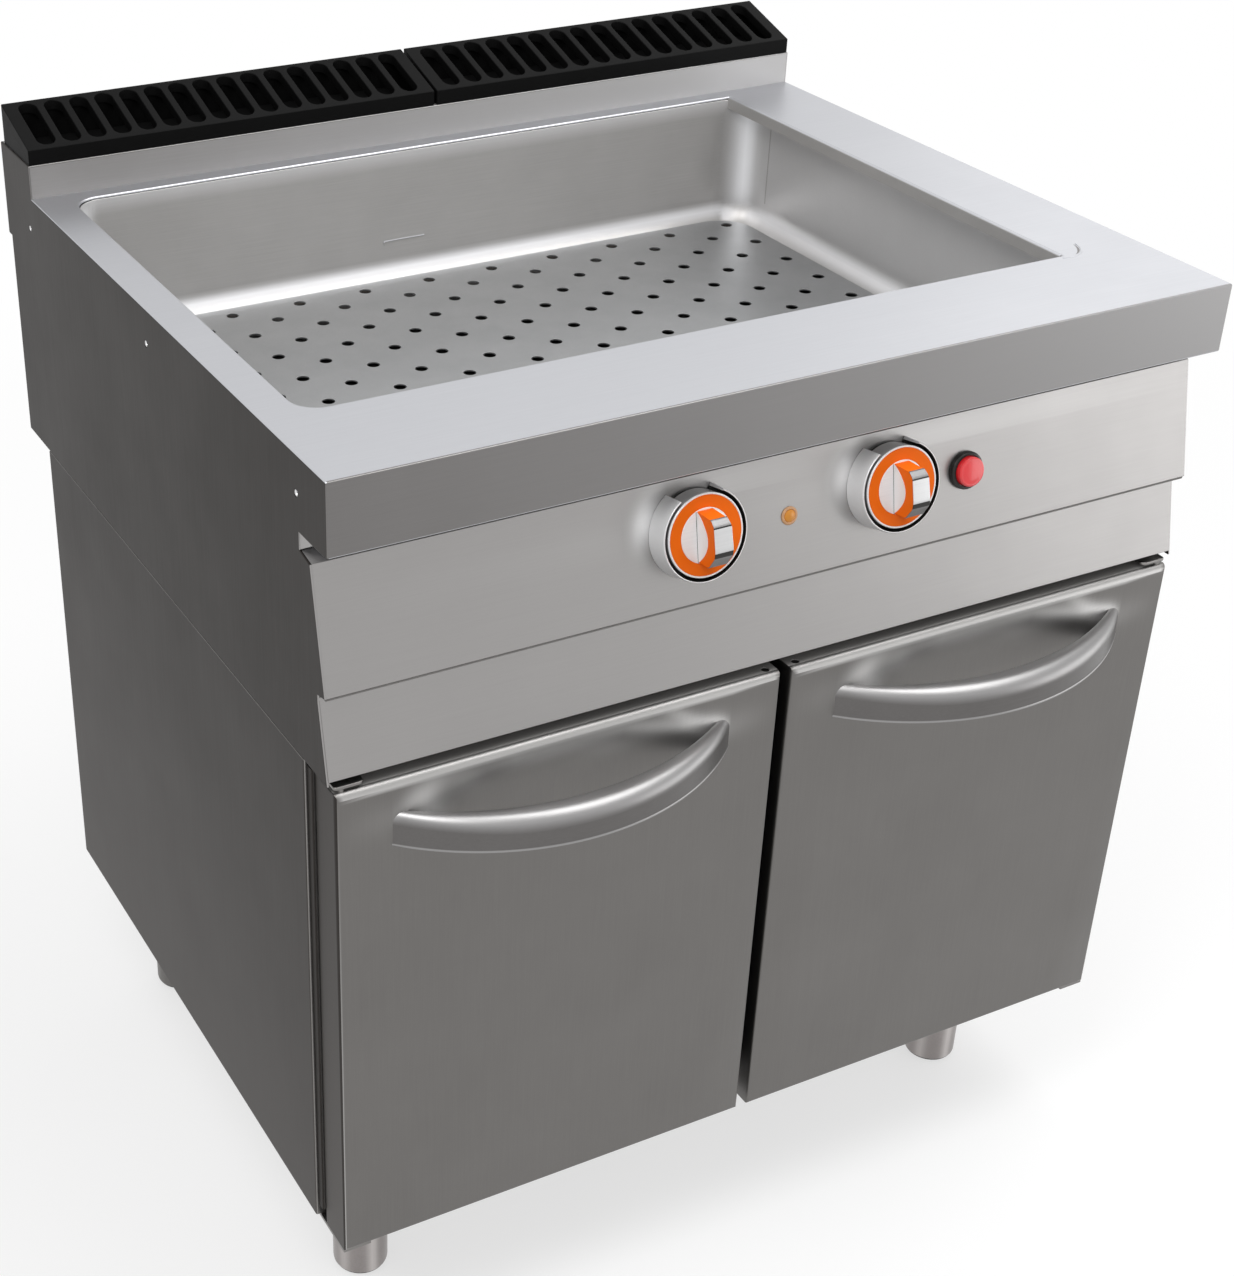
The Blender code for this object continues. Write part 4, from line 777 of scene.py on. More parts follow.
@dataclass
class Worktop:
    """The worktop with its skirt, the return under it and the folded lip of its cover strip."""

    depth: float = 621.0
    skirt: float = 58.0
    sheet: float = 2.0
    bend: float = 1.0
    well_left: float = -368.0
    well_right: float = 318.0
    well_front: float = 110.5
    well_back: float = 603.0
    corner: float = 22.0
    strip_corner: float = 0.8
    lip: float = 11.0
    lip_bend: float = 1.4
    lip_start: float = 2.4
    lip_gap: float = 0.9
    flap: float = 0.6
    print_centre: tuple[float, float] = (323.5, 128.5)

    def build(self) -> None:
        """Build the worktop and what is folded from it."""
        self.build_top()
        self.build_skirt()
        self.build_lip()
        self.build_print("well_corner_print", TOP_STEEL, (-108, 104), 24.5, 0.4)
        # The crescent beside the pale ridge, in the skirt's darker tone, is painted shade inside the ridge.
        self.build_print("well_corner_print_side", SKIRT_STEEL, (-66, 60), 22.4, 0.1)

    def build_top(self) -> None:
        """Build the flat top with the well's opening, up to the cover strip's lip."""
        outline = rectangle((-INNER, INNER), (at(2 * self.bend), at(self.depth)))
        right = self.well_right + self.lip_start
        corners = [plan(self.well_left, self.well_front), plan(self.well_left, self.well_back),
                   plan(right, self.well_back), plan(right, self.well_front)]
        radii = [r * MM for r in (self.corner, self.corner, self.strip_corner, self.strip_corner)]
        levels = edges(self.sheet * MM, 0, 1.7 * MM, 5)
        top = Form().plate(outline, levels, level(-self.sheet), [rounded(corners, radii, steps=10)], rim=False)
        piece("worktop_sheet", top, TOP_STEEL, nodes=("worktop", "right_top_strip"))

    def build_skirt(self) -> None:
        """Build the front bend, the skirt, the inclined return and the flaps at its ends."""
        corners = [spot(2 * self.bend, 0), spot(0, 0), spot(0, -self.skirt), spot(26, -self.skirt - 1.3)]
        front = Form().fold(corners, [0, self.bend, 0.9, 0], self.sheet, FULL, LONG)
        front.fold([spot(24.4, -self.skirt - 1.2), spot(46.2, -72.4)], [0, 0], self.sheet, FULL, LONG)
        skirt = piece("worktop_skirt", front, SKIRT_STEEL)
        # Painted light: the bend under the skirt takes the lit top tone, and the skirt is painted lighter toward
        # its right end.
        refinish(skirt, TOP_STEEL, lambda normal, middle: -0.95 < normal.z < -0.1 and normal.y < -0.1)
        burnish(skirt, rightward)
        outline = [spot(24.4, -59.0), spot(46.2, -72.2), spot(50, -72.2), spot(50, -56), spot(24.4, -56)]
        ends = Form()
        for side in Side:
            x = side.value * (HALF - 0.9 * MM) - self.flap / 2 * MM
            ends.plate(outline, [(0, 0), (0, self.flap * MM)], Matrix.Translation((x, 0, 0)) @ ACROSS)
        piece("return_end_flaps", ends, PANEL_STEEL)

    def build_lip(self) -> None:
        """Build the lip folded down into the well along the cover strip."""
        x = self.well_right * MM
        corners = [Vector((x + self.lip_start * MM, up(0))), Vector((x, up(0))), Vector((x, up(-self.lip)))]
        length = (self.well_back - self.well_front - 2 * self.lip_gap) * MM
        matrix = Matrix.Translation((0, at(self.well_front + self.lip_gap) + length, 0)) @ ALONG
        form = Form().fold(corners, [0, self.lip_bend, 0], self.sheet, [(0, 0), (0, length)], matrix)
        # Its faces that look up take the lit top tone.
        refinish(piece("cover_strip_lip", form, WELL_STEEL), TOP_STEEL, lambda normal, middle: normal.z > 0.4)

    def build_print(self, name: str, finish: Finish, span: tuple[float, float], radius: float,
                    high: float) -> None:
        """Build a low arc where the well's corner prints through the cover strip.

        Args:
            name: The piece's name.
            finish: Its finish.
            span: The arc's first angle and its length, in degrees.
            radius: The arc's radius, in millimetres.
            high: How far it stands proud, in millimetres.
        """
        rings = []
        for i in range(17):
            angle = math.radians(span[0] + span[1] * i / 16)
            out = Vector((math.cos(angle), math.sin(angle)))
            middle = plan(*self.print_centre) + out * radius * MM
            side = out * (0.9 * math.sin(math.pi * i / 16) + 0.1) * MM
            rings.append([Vector((*(middle + side * reach), up(rise)))
                          for reach, rise in ((-1, 0.02), (-0.4, high), (0.4, high), (1, 0.02))])
        piece(name, Form().loft(rings), finish)


@dataclass
class ModuleShell:
    """The side plates, back, base and upstand of the top module."""

    depth: float = 700.0
    upstand_front: float = 621.0
    upstand: float = 30.0
    rear: float = 692.0
    step: float = 56.0
    height: float = 250.0
    edge: float = 0.9
    hole: float = 2.7
    hole_drop: float = 30.0
    hole_depths: tuple[float, ...] = (50.0, 341.0, 632.0)
    vent_middle: float = 201.0
    vent_half: float = 180.0
    vent_depths: tuple[float, float] = (634.0, 688.0)

    def build(self) -> None:
        """Build the shell."""
        for side in Side:
            self.build_side(side)
        self.build_bushes()
        self.build_upstand()
        dress("module_back", ZINC)
        dress("module_base", ZINC)

    def build_side(self, side: Side) -> None:
        """Build one side plate, with painted light and shade: its top edge in the lit top tone, its front edge in
        the tones of what it meets there, and the right plate lighter above the groove.

        Args:
            side: The plate's side.
        """
        corners = [(8, -self.height, 0.6), (self.rear, -self.height, 0.6), (self.rear, -self.step, 0),
                   (self.depth, -self.step, 0.6), (self.depth, self.upstand, 1.5),
                   (self.upstand_front, self.upstand, 1.5), (self.upstand_front, 0, 0), (0, 0, 1.8),
                   (0, -58, 1.4), (24.4, -59.2, 0), (47, -59.2, 0), (47, -72.9, 0), (29.5, -76.3, 0.9),
                   (9.2, -175.5, 0.9), (21.5, -178, 0), (21.5, -184, 0.9)]
        outline = rounded([spot(d, r) for d, r, _ in corners], [c[2] * MM for c in corners], steps=4)
        holes = [circle(*spot(d, -self.hole_drop), self.hole * MM, 20) for d in self.hole_depths]
        edge = self.edge * MM
        start, low, high = (-HALF, edge, 0.0) if side is Side.LEFT else (INNER, 0.0, edge)
        matrix = Matrix.Translation((start, 0, 0)) @ ACROSS
        form = Form().plate(outline, edges(SHEET * MM, low, high), matrix, holes)
        plate = piece("side_plate_" + side.word, form, SIDE_STEEL, nodes=("module_side_" + side.word,))
        groove = up(-60)
        # Painted light and shade: top edge in the lit tone, front edge in the skirt and panel tones, right plate
        # lighter above the groove.
        refinish(plate, TOP_STEEL, lambda normal, middle: normal.z > 0.6 and abs(middle.z - TOP_Z) < 3 * MM)
        refinish(plate, SKIRT_STEEL, lambda normal, middle: normal.y < -0.6 and middle.z > groove)
        refinish(plate, PANEL_STEEL, lambda normal, middle: normal.y < -0.6 and middle.z < groove)
        burnish(plate, lambda place, normal: float(place.x > 0 and place.z > groove))

    def build_bushes(self) -> None:
        """Build the bright threaded bushes behind the side holes."""
        profile = [(1.4, -5), (1.4, -1.4), (2.1, -0.2), (2.5, 0), (2.6, -0.5), (2.6, -6), (0, -6), (0, -5)]
        form = Form()
        for side in Side:
            turn = Matrix.Rotation(side.value * math.pi / 2, 4, "Y")
            for depth in self.hole_depths:
                place = Vector((side.value * (HALF - 0.5 * MM), *spot(depth, -self.hole_drop)))
                form.turn(profile, Matrix.Translation(place) @ turn, 24)
        piece("side_hole_bushes", form, BRIGHT_CHROME)

    def build_upstand(self) -> None:
        """Build the upstand's front, vented top and rear."""
        form = Form().fold([spot(625, self.upstand), spot(self.upstand_front, self.upstand),
                            spot(self.upstand_front, -2)], [0, 1.5, 0], SHEET, FULL, LONG, 4)
        form.fold([spot(685, -self.step), spot(self.depth, -self.step), spot(self.depth, self.upstand),
                   spot(696, self.upstand)], [0, 0.6, 1.5, 0], SHEET, FULL, LONG, 4)
        vents = []
        for side in Side:
            middle = side.value * self.vent_middle * MM
            half = self.vent_half * MM
            vents.append(rectangle((middle - half, middle + half), tuple(at(d) for d in self.vent_depths),
                                   [3 * MM] * 4)[::-1])
        form.plate(rectangle((-INNER, INNER), (at(625), at(696))), [(0, 0), (0, SHEET * MM)],
                   Matrix.Translation((0, 0, up(self.upstand) - SHEET * MM)), vents)
        sheet = piece("upstand_sheet", form, UPSTAND_STEEL, nodes=("upstand_box",))
        # Painted shade over the bend at the upstand's top front, in the skirt's darker tone, and a painted
        # gradient of light toward the right end.
        refinish(sheet, SKIRT_STEEL, lambda normal, middle: normal.y < -0.1 and normal.z > 0.1)
        burnish(sheet, rightward)


@dataclass
class VentGrille(Sided):
    """One cast grille with its sixteen slots."""

    width: float = 397.2
    gap: float = 1.4
    front: float = 621.3
    rear: float = 692.9
    low: float = 43.6
    high: float = 65.5
    slots: int = 16
    slot: float = 17.0
    slot_depths: tuple[float, float] = (626.7, 689.0)
    first: float = 21.0
    deep: float = 9.0
    wall: float = 3.0
    foot: float = 30.3

    def build(self) -> None:
        """Build the grille, the wall under its rim and its dark liner, a black sheet that paints the shade inside
        the module.
        """
        left, right = sorted((self.side.value * self.gap, self.side.value * (self.gap + self.width)))
        grade = (self.high - self.low) / (self.rear - self.front)
        lift = up(self.low - self.deep) - grade * at(self.front)
        shear = Matrix(((1, 0, 0, 0), (0, 1, 0, 0), (0, grade, 1, lift), (0, 0, 0, 1)))
        outline = rectangle((left * MM, right * MM), (at(self.front), at(self.rear)), [0.9 * MM] * 4, 3)
        pitch = (self.width - 2 * self.first) / (self.slots - 1)
        half = self.slot / 2
        holes = []
        for i in range(self.slots):
            middle = left + self.first + i * pitch
            holes.append(rectangle(((middle - half) * MM, (middle + half) * MM),
                                   tuple(at(d) for d in self.slot_depths), [half * MM] * 4, 7)[::-1])
        form = Form().plate(outline, edges(self.deep * MM, 0.5 * MM, 0.8 * MM), shear, holes)
        inner = inset(outline, self.wall * MM)
        foot = [[Vector((p.x, p.y, up(self.foot))) for p in loop] for loop in (outline, inner)]
        brow = [[shear @ Vector((p.x, p.y, 0.3 * MM)) for p in loop] for loop in (outline, inner)]
        form.loft([foot[0], *brow, foot[1], foot[0]], first=False, last=False)
        piece(self.named("cast_grille"), form, ENAMEL, self.named("grille"), (self.named("grille"),))
        near, far = (left + 4) * MM, (right - 4) * MM
        # Painted shade: a black liner under the slots stands for the shade inside the module.
        liner = block((near, at(624.5), up(30.4)), (far, at(637), up(32.6)), 0.6)
        liner.plate(rectangle((near, far), (at(637.5), at(689.5))), [(0, 0), (0, 0.8 * MM)], level(30.6))
        piece(self.named("grille_liner"), liner, ENAMEL, self.named("grille"))


@dataclass
class WaterWell:
    """The pressed well, its level mark, its drain fitting and the perforated plate in it."""

    left: float = -368.0
    right: float = 348.0
    front: float = 110.5
    back: float = 603.0
    deep: float = 132.5
    corner: float = 25.0
    far_corner: float = 40.0
    fillet: float = 27.0
    sheet: float = 1.2
    drain: tuple[float, float] = (286.0, 539.0)
    drain_hole: float = 15.0
    plate_level: float = -119.3
    plate_half: float = 323.0
    plate_depths: tuple[float, float] = (128.5, 585.0)
    plate_corner: float = 35.0
    plate_foot: float = 318.2
    hole: float = 5.6
    pitch_x: float = 33.7
    pitch_y: float = 26.3
    columns: int = 19
    rows: int = 17

    def build(self) -> None:
        """Build the well and what stands in it."""
        rings = [self.ring(-12, -2.4), self.ring(-1.0, -2.3), self.ring(-0.3, -2.6), self.ring(0, -3.4)]
        wall = self.deep - self.fillet
        rings += [self.ring(0, -wall * i / 6) for i in range(1, 6)]
        curve = []
        for i in range(13):
            angle = math.pi / 2 * i / 12
            curve.append(self.ring(self.fillet * (1 - math.cos(angle)), -(wall + self.fillet * math.sin(angle))))
        tub = self.shell("pressed_well", rings + curve[:10], WELL_STEEL, ("well_tub",))
        # Painted highlight bands along the rounded corners, and painted shade: the floor faces take the dark
        # floor tone.
        burnish(tub, lambda place, normal: self.sheen(normal))
        refinish(tub, FLOOR_STEEL, lambda normal, middle: normal.z > 0.79 and normal.x > -0.3)
        hole = circle(*plan(*self.drain), self.drain_hole * MM, 24)
        self.shell("well_floor", curve[9:], FLOOR_STEEL, (), hole)
        self.build_marks()
        self.build_drain_seat()
        self.build_plate()

    def ring(self, tuck: float, rise: float) -> list[Vector]:
        """Give a ring of the well.

        Args:
            tuck: How far it stands in from the walls, in millimetres.
            rise: Its rise, in millimetres.

        Returns:
            The ring's points.
        """
        near, far = (max(radius - tuck, 2) * MM for radius in (self.corner, self.far_corner))
        flat = rectangle(((self.left + tuck) * MM, (self.right - tuck) * MM),
                         (at(self.front + tuck), at(self.back - tuck)), [near, far, far, near], 10)
        return [Vector((p.x, p.y, up(rise))) for p in flat]

    @staticmethod
    def sheen(normal: Vector) -> float:
        """Give the share of painted highlight on the well, which is most in its rounded corners.

        Args:
            normal: The wall's normal.

        Returns:
            The share.
        """
        across = math.hypot(normal.x, normal.y)
        corner = 0.0
        if across > 0.3:
            corner = min(1.0, (1 - max(abs(normal.x), abs(normal.y)) / across) / 0.24) ** 1.1
        right = normal.x < -0.2
        fillet = bell((normal.z - 0.46) / 0.26) if right else 0.9 * bell((normal.z - 0.36) / 0.2)
        wall = 0.32 if normal.x < -0.8 else 0.0
        joint = corner * bell((normal.z - 0.55) / 0.4)
        return max(corner * (1 - normal.z), fillet, wall) * (1 - joint)

    def shell(self, name: str, rings: Sequence[Sequence[Vector]], finish: Finish, nodes: Sequence[str],
              hole: Sequence[Vector] = ()) -> bpy.types.Object:
        """Make part of the well as sheet, thickened to its outside.

        Args:
            name: The piece's name.
            rings: The rings of its inner face, from the top down.
            finish: Its finish.
            nodes: The frame's nodes that it stands for.
            hole: A hole in the floor that closes it, or nothing where it stays open.

        Returns:
            The piece.
        """
        form = Form().loft(rings, first=False, last=False)
        if hole:
            loops = [list(rings[-1]), [Vector((p.x, p.y, rings[-1][0].z)) for p in hole]]
            form.join([p for loop in loops for p in loop], tessellate_polygon(loops))
        made = piece(name, form, finish, nodes=nodes, crease=50)
        lowest = min(made.data.polygons, key=lambda face: face.center.z)
        sheet = made.modifiers.new("sheet", "SOLIDIFY")
        sheet.thickness = self.sheet * MM
        sheet.offset = -1 if lowest.normal.z > 0 else 1
        made.modifiers.move(1, 0)
        return made

    def build_marks(self) -> None:
        """Build the raised water level mark and the weld bead beside the rear corner."""
        y = at(self.back) - 0.15 * MM
        route = [(-64.0, -91.4), (-64.4, -89.0), (-62.5, -88.2), (-50, -88.0), (-36, -88.0), (-21.4, -88.0)]
        section = [(0.3, 0.55), (-0.5, 0.4), (-0.7, 0), (-0.5, -0.4), (0.3, -0.55)]
        rings = [[Vector((x * MM, y + dy * MM, up(rise + dz))) for dy, dz in section] for x, rise in route]
        # The bead is raised; its pale top tone paints the highlight along it.
        piece("water_level_mark", Form().loft(rings), TOP_STEEL)
        section = [(-0.3, -1.3), (0.3, -0.7), (0.35, 0.7), (-0.3, 1.3)]
        rings = [[Vector((*plan(self.right - dx, 566.5 + dy), up(-12 - 11.5 * i))) for dx, dy in section]
                 for i in range(9)]
        piece("well_corner_weld", Form().loft(rings), WELL_STEEL)

    def build_drain_seat(self) -> None:
        """Build the flanged seat of the drain in the well's floor, with a cross of four bars."""
        matrix = Matrix.Translation((*plan(*self.drain), up(-self.deep)))
        form = Form().turn([(14.2, -9), (14.2, 0.3), (15.2, 0.9), (21.5, 0.9), (22.6, 0.1), (22.6, -0.3),
                            (15.2, -0.3), (15.2, -9)], matrix, 40, closed=True)
        section = [(-0.7, -3), (0.7, -3), (0.7, -4.4), (-0.7, -4.4)]
        for i in range(4):
            way = matrix @ Matrix.Rotation(math.pi * i / 4, 4, "Z") @ Matrix.Scale(MM, 4)
            form.loft([[way @ Vector((end * 14.3, w, h)) for w, h in section] for end in (-1, 1)])
        piece("drain_seat", form, FRAME_STEEL)

    def build_plate(self) -> None:
        """Build the perforated plate with its staggered holes, and the feet folded under it."""
        near, far = self.plate_depths
        outline = rectangle((-self.plate_half * MM, self.plate_half * MM), (at(near), at(far)),
                            [self.plate_corner * MM] * 4, 10)
        first_y = at((near + far) / 2 + (self.rows - 1) / 2 * self.pitch_y)
        holes = []
        for i in range(self.columns):
            x = (i - (self.columns - 1) / 2) * self.pitch_x * MM
            holes += [circle(x, first_y - j * self.pitch_y * MM, self.hole * MM, 18)
                      for j in range(i % 2, self.rows, 2)]
        levels = edges(1.5 * MM, 0.2 * MM, 0.35 * MM, 2)
        form = Form().plate(outline, levels, level(self.plate_level - 1.2), holes)
        for side in Side:
            x = side.value * self.plate_foot * MM
            foot = block((x - 0.75 * MM, at(187), up(-self.deep + 0.4)),
                         (x + 0.75 * MM, at(527), up(self.plate_level - 1.0)), 0.3)
            form.join(foot.points, foot.faces)
        piece("perforated_plate", form, PLATE_STEEL, "false_bottom", ("false_bottom",))


def panel_frame(x: float, slope: float) -> Matrix:
    """Give a frame on the control panel, with Z out of it and Y up it.

    Args:
        x: The place across the panel, in millimetres.
        slope: The place down the panel from its top bend, in millimetres.

    Returns:
        The frame.
    """
    depth, rise = PANEL_TOP
    place = Vector((x * MM, *spot(depth - slope * math.sin(PANEL_TILT), rise - slope * math.cos(PANEL_TILT))))
    return Matrix.Translation(place) @ Matrix.Rotation(math.pi / 2 - PANEL_TILT, 4, "X")


@dataclass
class FrontPanels:
    """The sloping control panel and the set-back fascia under it."""

    bend: float = 0.7
    # Where each collar throws light on the panel: how far out, how wide, at what angle and how far round.
    halo_out: float = 42.0
    halo_wide: float = 10.0
    halo_angle: float = 20.0
    halo_round: float = 26.0

    def build(self) -> None:
        """Build both panels between the side plates, and the seal between them."""
        top, foot = spot(*PANEL_TOP), spot(9.18, -175.4)
        between = [top.lerp(foot, i / 32) for i in range(1, 32)]
        stations = [INNER + (near + 2.5 * i) * MM for near in (-150.0, 30.0) for i in range(17)]
        radii = [0, self.bend, *[0] * len(between), self.bend, 0]
        form = Form().fold([spot(46.2, -73), top, *between, foot, spot(22.9, -178.2)], radii, SHEET,
                           [(0, x) for x in (0.0, *stations, 2 * INNER)], LONG)
        panel = piece("control_panel_sheet", form, PANEL_STEEL, nodes=("control_panel",))
        # Painted light: the sheet's upward faces take the upstand's tone, and the halo paints the light each
        # collar throws on the panel.
        refinish(panel, UPSTAND_STEEL, lambda normal, middle: normal.z > 0.7)
        burnish(panel, self.halo)
        form = Form().fold([spot(36, -179), spot(21.9, -180.4), spot(8.1, -246.4), spot(23.5, -246.4)],
                           [0, self.bend, self.bend, 0], SHEET, FULL, LONG)
        piece("lower_fascia_sheet", form, PANEL_STEEL, nodes=("lower_fascia",))
        bead = [spot(10.0, -175.9), spot(10.3, -177.6), spot(13, -178), spot(13, -176.6)]
        piece("panel_seal", Form().plate(bead, FULL, LONG), SEAL)

    def halo(self, place: Vector, normal: Vector) -> float:
        """Give how bright the panel is where each collar throws light on it.

        Args:
            place: The point.
            normal: Its normal, which doesn't matter here.

        Returns:
            The share.
        """
        share = 0.0
        for side in Side:
            knob = panel_frame(side.value * KNOB_SPREAD, KNOB_SLOPE).inverted() @ place / MM
            out = math.hypot(knob.x, knob.y)
            if out > 30 and abs(knob.z) < 1:
                angle = math.degrees(math.atan2(knob.y, -knob.x))
                share += bell((out - self.halo_out) / self.halo_wide, (angle - self.halo_angle) / self.halo_round)
        return share


@dataclass
class ControlKnob(Sided):
    """A collared knob with an orange ring, a silver face and a strapped grip."""

    collar: float = 37.0
    collar_high: float = 19.6
    window: tuple[float, float] = (62.0, 124.0)
    drum: float = 33.0
    ring: float = 31.5
    disc: float = 21.2
    grip: float = 7.6
    grip_end: float = 20.0
    face: float = 19.4
    arch: float = 34.0

    @property
    def place(self) -> Matrix:
        """Give the knob's frame on the control panel."""
        return panel_frame(self.side.value * KNOB_SPREAD, KNOB_SLOPE)

    def build(self) -> None:
        """Build the collar and the knob."""
        self.build_collar()
        self.build_drum()
        self.build_grip()
        self.build_arches()

    def build_collar(self) -> None:
        """Build the collar with the window in its top, and its black seat, with the inner wall and the gap ring
        black as painted shade.
        """
        r, h = self.collar, self.collar_high
        profile = [(r + 1.2, 0.3), (r + 0.1, h - 1.2), (r - 0.2, h - 0.4), (r - 0.7, h), (r - 1.2, h - 0.2),
                   (r - 1.5, h - 0.9), (r - 1.5, 0.3)]
        span = (self.window[1], self.window[0] + 360)
        form = Form().turn(profile, self.place, 80, span, closed=True)
        collar = piece(self.named("collar"), form, SATIN_CHROME, nodes=(self.named("knob_collar"),))
        back = self.place.inverted()
        # Painted shade: the collar's inner wall is black.
        refinish(collar, BLACK, lambda normal, middle: (back @ middle).xy.length < (r - 1.3) * MM)
        low, high = 0.35, 1.6
        seat = [(self.drum - 0.8, low), (self.drum - 0.8, high), (3.4, high), (3.4, low)]
        form = Form().turn(seat, self.place, 64, closed=True)
        # Painted shade: a black ring fills the gap between collar and drum outside the window.
        rest = [(r - 1.6, low), (r - 1.6, high), (self.drum - 0.9, high), (self.drum - 0.9, low)]
        form.turn(rest, self.place, 80, span, closed=True)
        piece(self.named("collar_seat"), form, BLACK)

    def build_drum(self) -> None:
        """Build the pewter drum, its silver face and the orange ring set in it."""
        d, f = self.drum, self.face
        wall = [(d - 0.4, 3), (d - 0.25, f - 1.5), (4, f - 1.2), (4, 3.2)]
        form = Form().turn(wall, self.place, 80, closed=True)
        form.turn([(0, 3), (3, 3), (3, -12), (0, -12)], self.place, 24)
        piece(self.named("knob_drum"), form, PEWTER, self.named("knob"), (self.named("knob"),))
        inner = self.disc + 0.5
        front = [(0, f), (self.disc - 0.4, f), (self.disc, f + 0.15), (inner, f - 0.1), (inner, f - 0.6),
                 (self.ring, f - 0.6), (self.ring, f - 0.1), (self.ring + 0.4, f + 0.15), (d - 0.4, f + 0.05),
                 (d, f - 0.4), (d - 0.1, f - 1.3), (0, f - 1.3)]
        piece(self.named("knob_face"), Form().turn(front, self.place, 80), SILVER, self.named("knob"))
        ring = [(self.ring - 0.1, f - 0.5), (self.ring - 0.3, f + 0.1), (inner + 0.3, f + 0.1),
                (inner + 0.1, f - 0.5)]
        form = Form().turn(ring, self.place, 80, closed=True)
        piece(self.named("orange_ring"), form, ORANGE, self.named("knob"), (self.named("knob_ring"),))

    def half_width(self, v: float) -> float:
        """Give half of the grip's width at a place up the panel."""
        return self.grip - 0.8 * within((v - 7) / 9) ** 1.5

    @staticmethod
    def stretch(path: Sequence[Vector], high: float, low: float) -> list[Vector]:
        """Cut a stretch out of the grip's profile.

        Args:
            path: The profile.
            high: Where the stretch starts, as a place up the panel.
            low: Where it ends.

        Returns:
            The stretch, which runs to the profile's own end where that lies between the two.
        """
        ends = [[a.lerp(b, (a.x - end) / (a.x - b.x)) for a, b in zip(path, path[1:])
                 if a.x >= end >= b.x and a.x > b.x][:1] for end in (high, low)]
        return ends[0] + [p for p in path if low + 0.05 < p.x < high - 0.05] + ends[1]

    def band(self, path: Sequence[Vector], lift: float, proud: float) -> Form:
        """Make a strap that lies along a stretch of the profile.

        Args:
            path: The stretch of the profile.
            lift: How thick the strap is.
            proud: How far it stands past the grip's sides.

        Returns:
            The form.
        """
        edge = min(0.35, lift * 0.6)
        rings = []
        for low, high in zip(path, ribbon(path, -lift)[len(path):][::-1]):
            half = self.half_width(low.x) + proud
            top = low.lerp(high, 1 - edge / lift * 0.6)
            rings.append([Vector((way * (half - tuck), p.x, p.y)) for way, tuck, p in (
                (-1, 0, low), (-1, 0, top), (-1, edge, high), (1, edge, high), (1, 0, top), (1, 0, low))])
        return Form().loft(rings)

    def build_grip(self) -> None:
        """Build the orange grip, its silver strap in three stretches with the ends painted darker as shade, and
        the black inlays.
        """
        corners = [(20.2, self.face - 0.5), (17.2, 38.0), (12.6, 42.3), (-6.0, 43.4), (-11.2, 42.2),
                   (-20.2, 33.5), (-19.9, self.face - 0.5)]
        path = rounded([Vector(c) for c in corners], [0, 3, 6, 14, 6, 4, 0], closed=False, steps=7)
        rings = []
        for p in path:
            half = self.half_width(p.x)
            foot = (p.x * 0.98, self.face - 0.6)
            rings.append([Vector((-half, *p)), Vector((half, *p)), Vector((half, *foot)), Vector((-half, *foot))])
        self.put("grip", Form().loft(rings), ORANGE)
        strap = [p for p in path if p.y > 30]
        head, foot = 12.0, -9.0
        self.put("grip_strap_head", self.band(self.stretch(strap, 99, head), 0.5, 0.35), STRAP_END)
        self.put("grip_strap", self.band(self.stretch(strap, head, foot), 0.5, 0.35), STRAP)
        self.put("grip_strap_foot", self.band(self.stretch(strap, foot, -99), 0.5, 0.35), STRAP_END)
        inlays = Form()
        for high, low in ((12.4, 11.5), (-7.0, -10.8)):
            part = self.band(self.stretch(path, high, low), 0.62, 0.4)
            inlays.join(part.points, part.faces)
        self.put("grip_inlays", inlays, BLACK)

    def build_arches(self) -> None:
        """Build the silver arches at the grip's sides, and the dark seam under one of them."""
        arches = Form()
        for way in (-1, 1):
            rings = []
            for i in range(25):
                v = self.grip_end * math.cos(math.pi * i / 24)
                near, far = way * (self.half_width(v) - 1), way * (self.half_width(v) + 0.15)
                high = self.face - 0.4 + (self.arch - self.face) * (1 - (v / self.grip_end) ** 2)
                low = self.face - 0.5
                rings.append([Vector((near, v, low)), Vector((far, v, low)), Vector((far, v, high)),
                              Vector((near, v, high))])
            arches.loft(rings)
        self.put("grip_arches", arches, SILVER)
        flat = rectangle((-self.grip - 0.45, -self.grip - 0.1), (-20.2, 20.2))
        seam = Form().loft([[Vector((p.x, p.y, z)) for p in flat] for z in (self.face, self.face + 0.12)])
        self.put("grip_seam", seam, BLACK)

    def put(self, stem: str, form: Form, finish: Finish) -> None:
        """Place a form drawn in millimetres on the knob's axis, as a piece.

        Args:
            stem: The piece's name without its side.
            form: The form.
            finish: Its finish.
        """
        small = self.place @ Matrix.Scale(MM, 4)
        form.points = [small @ p for p in form.points]
        piece(self.named(stem), form, finish, self.named("knob"))


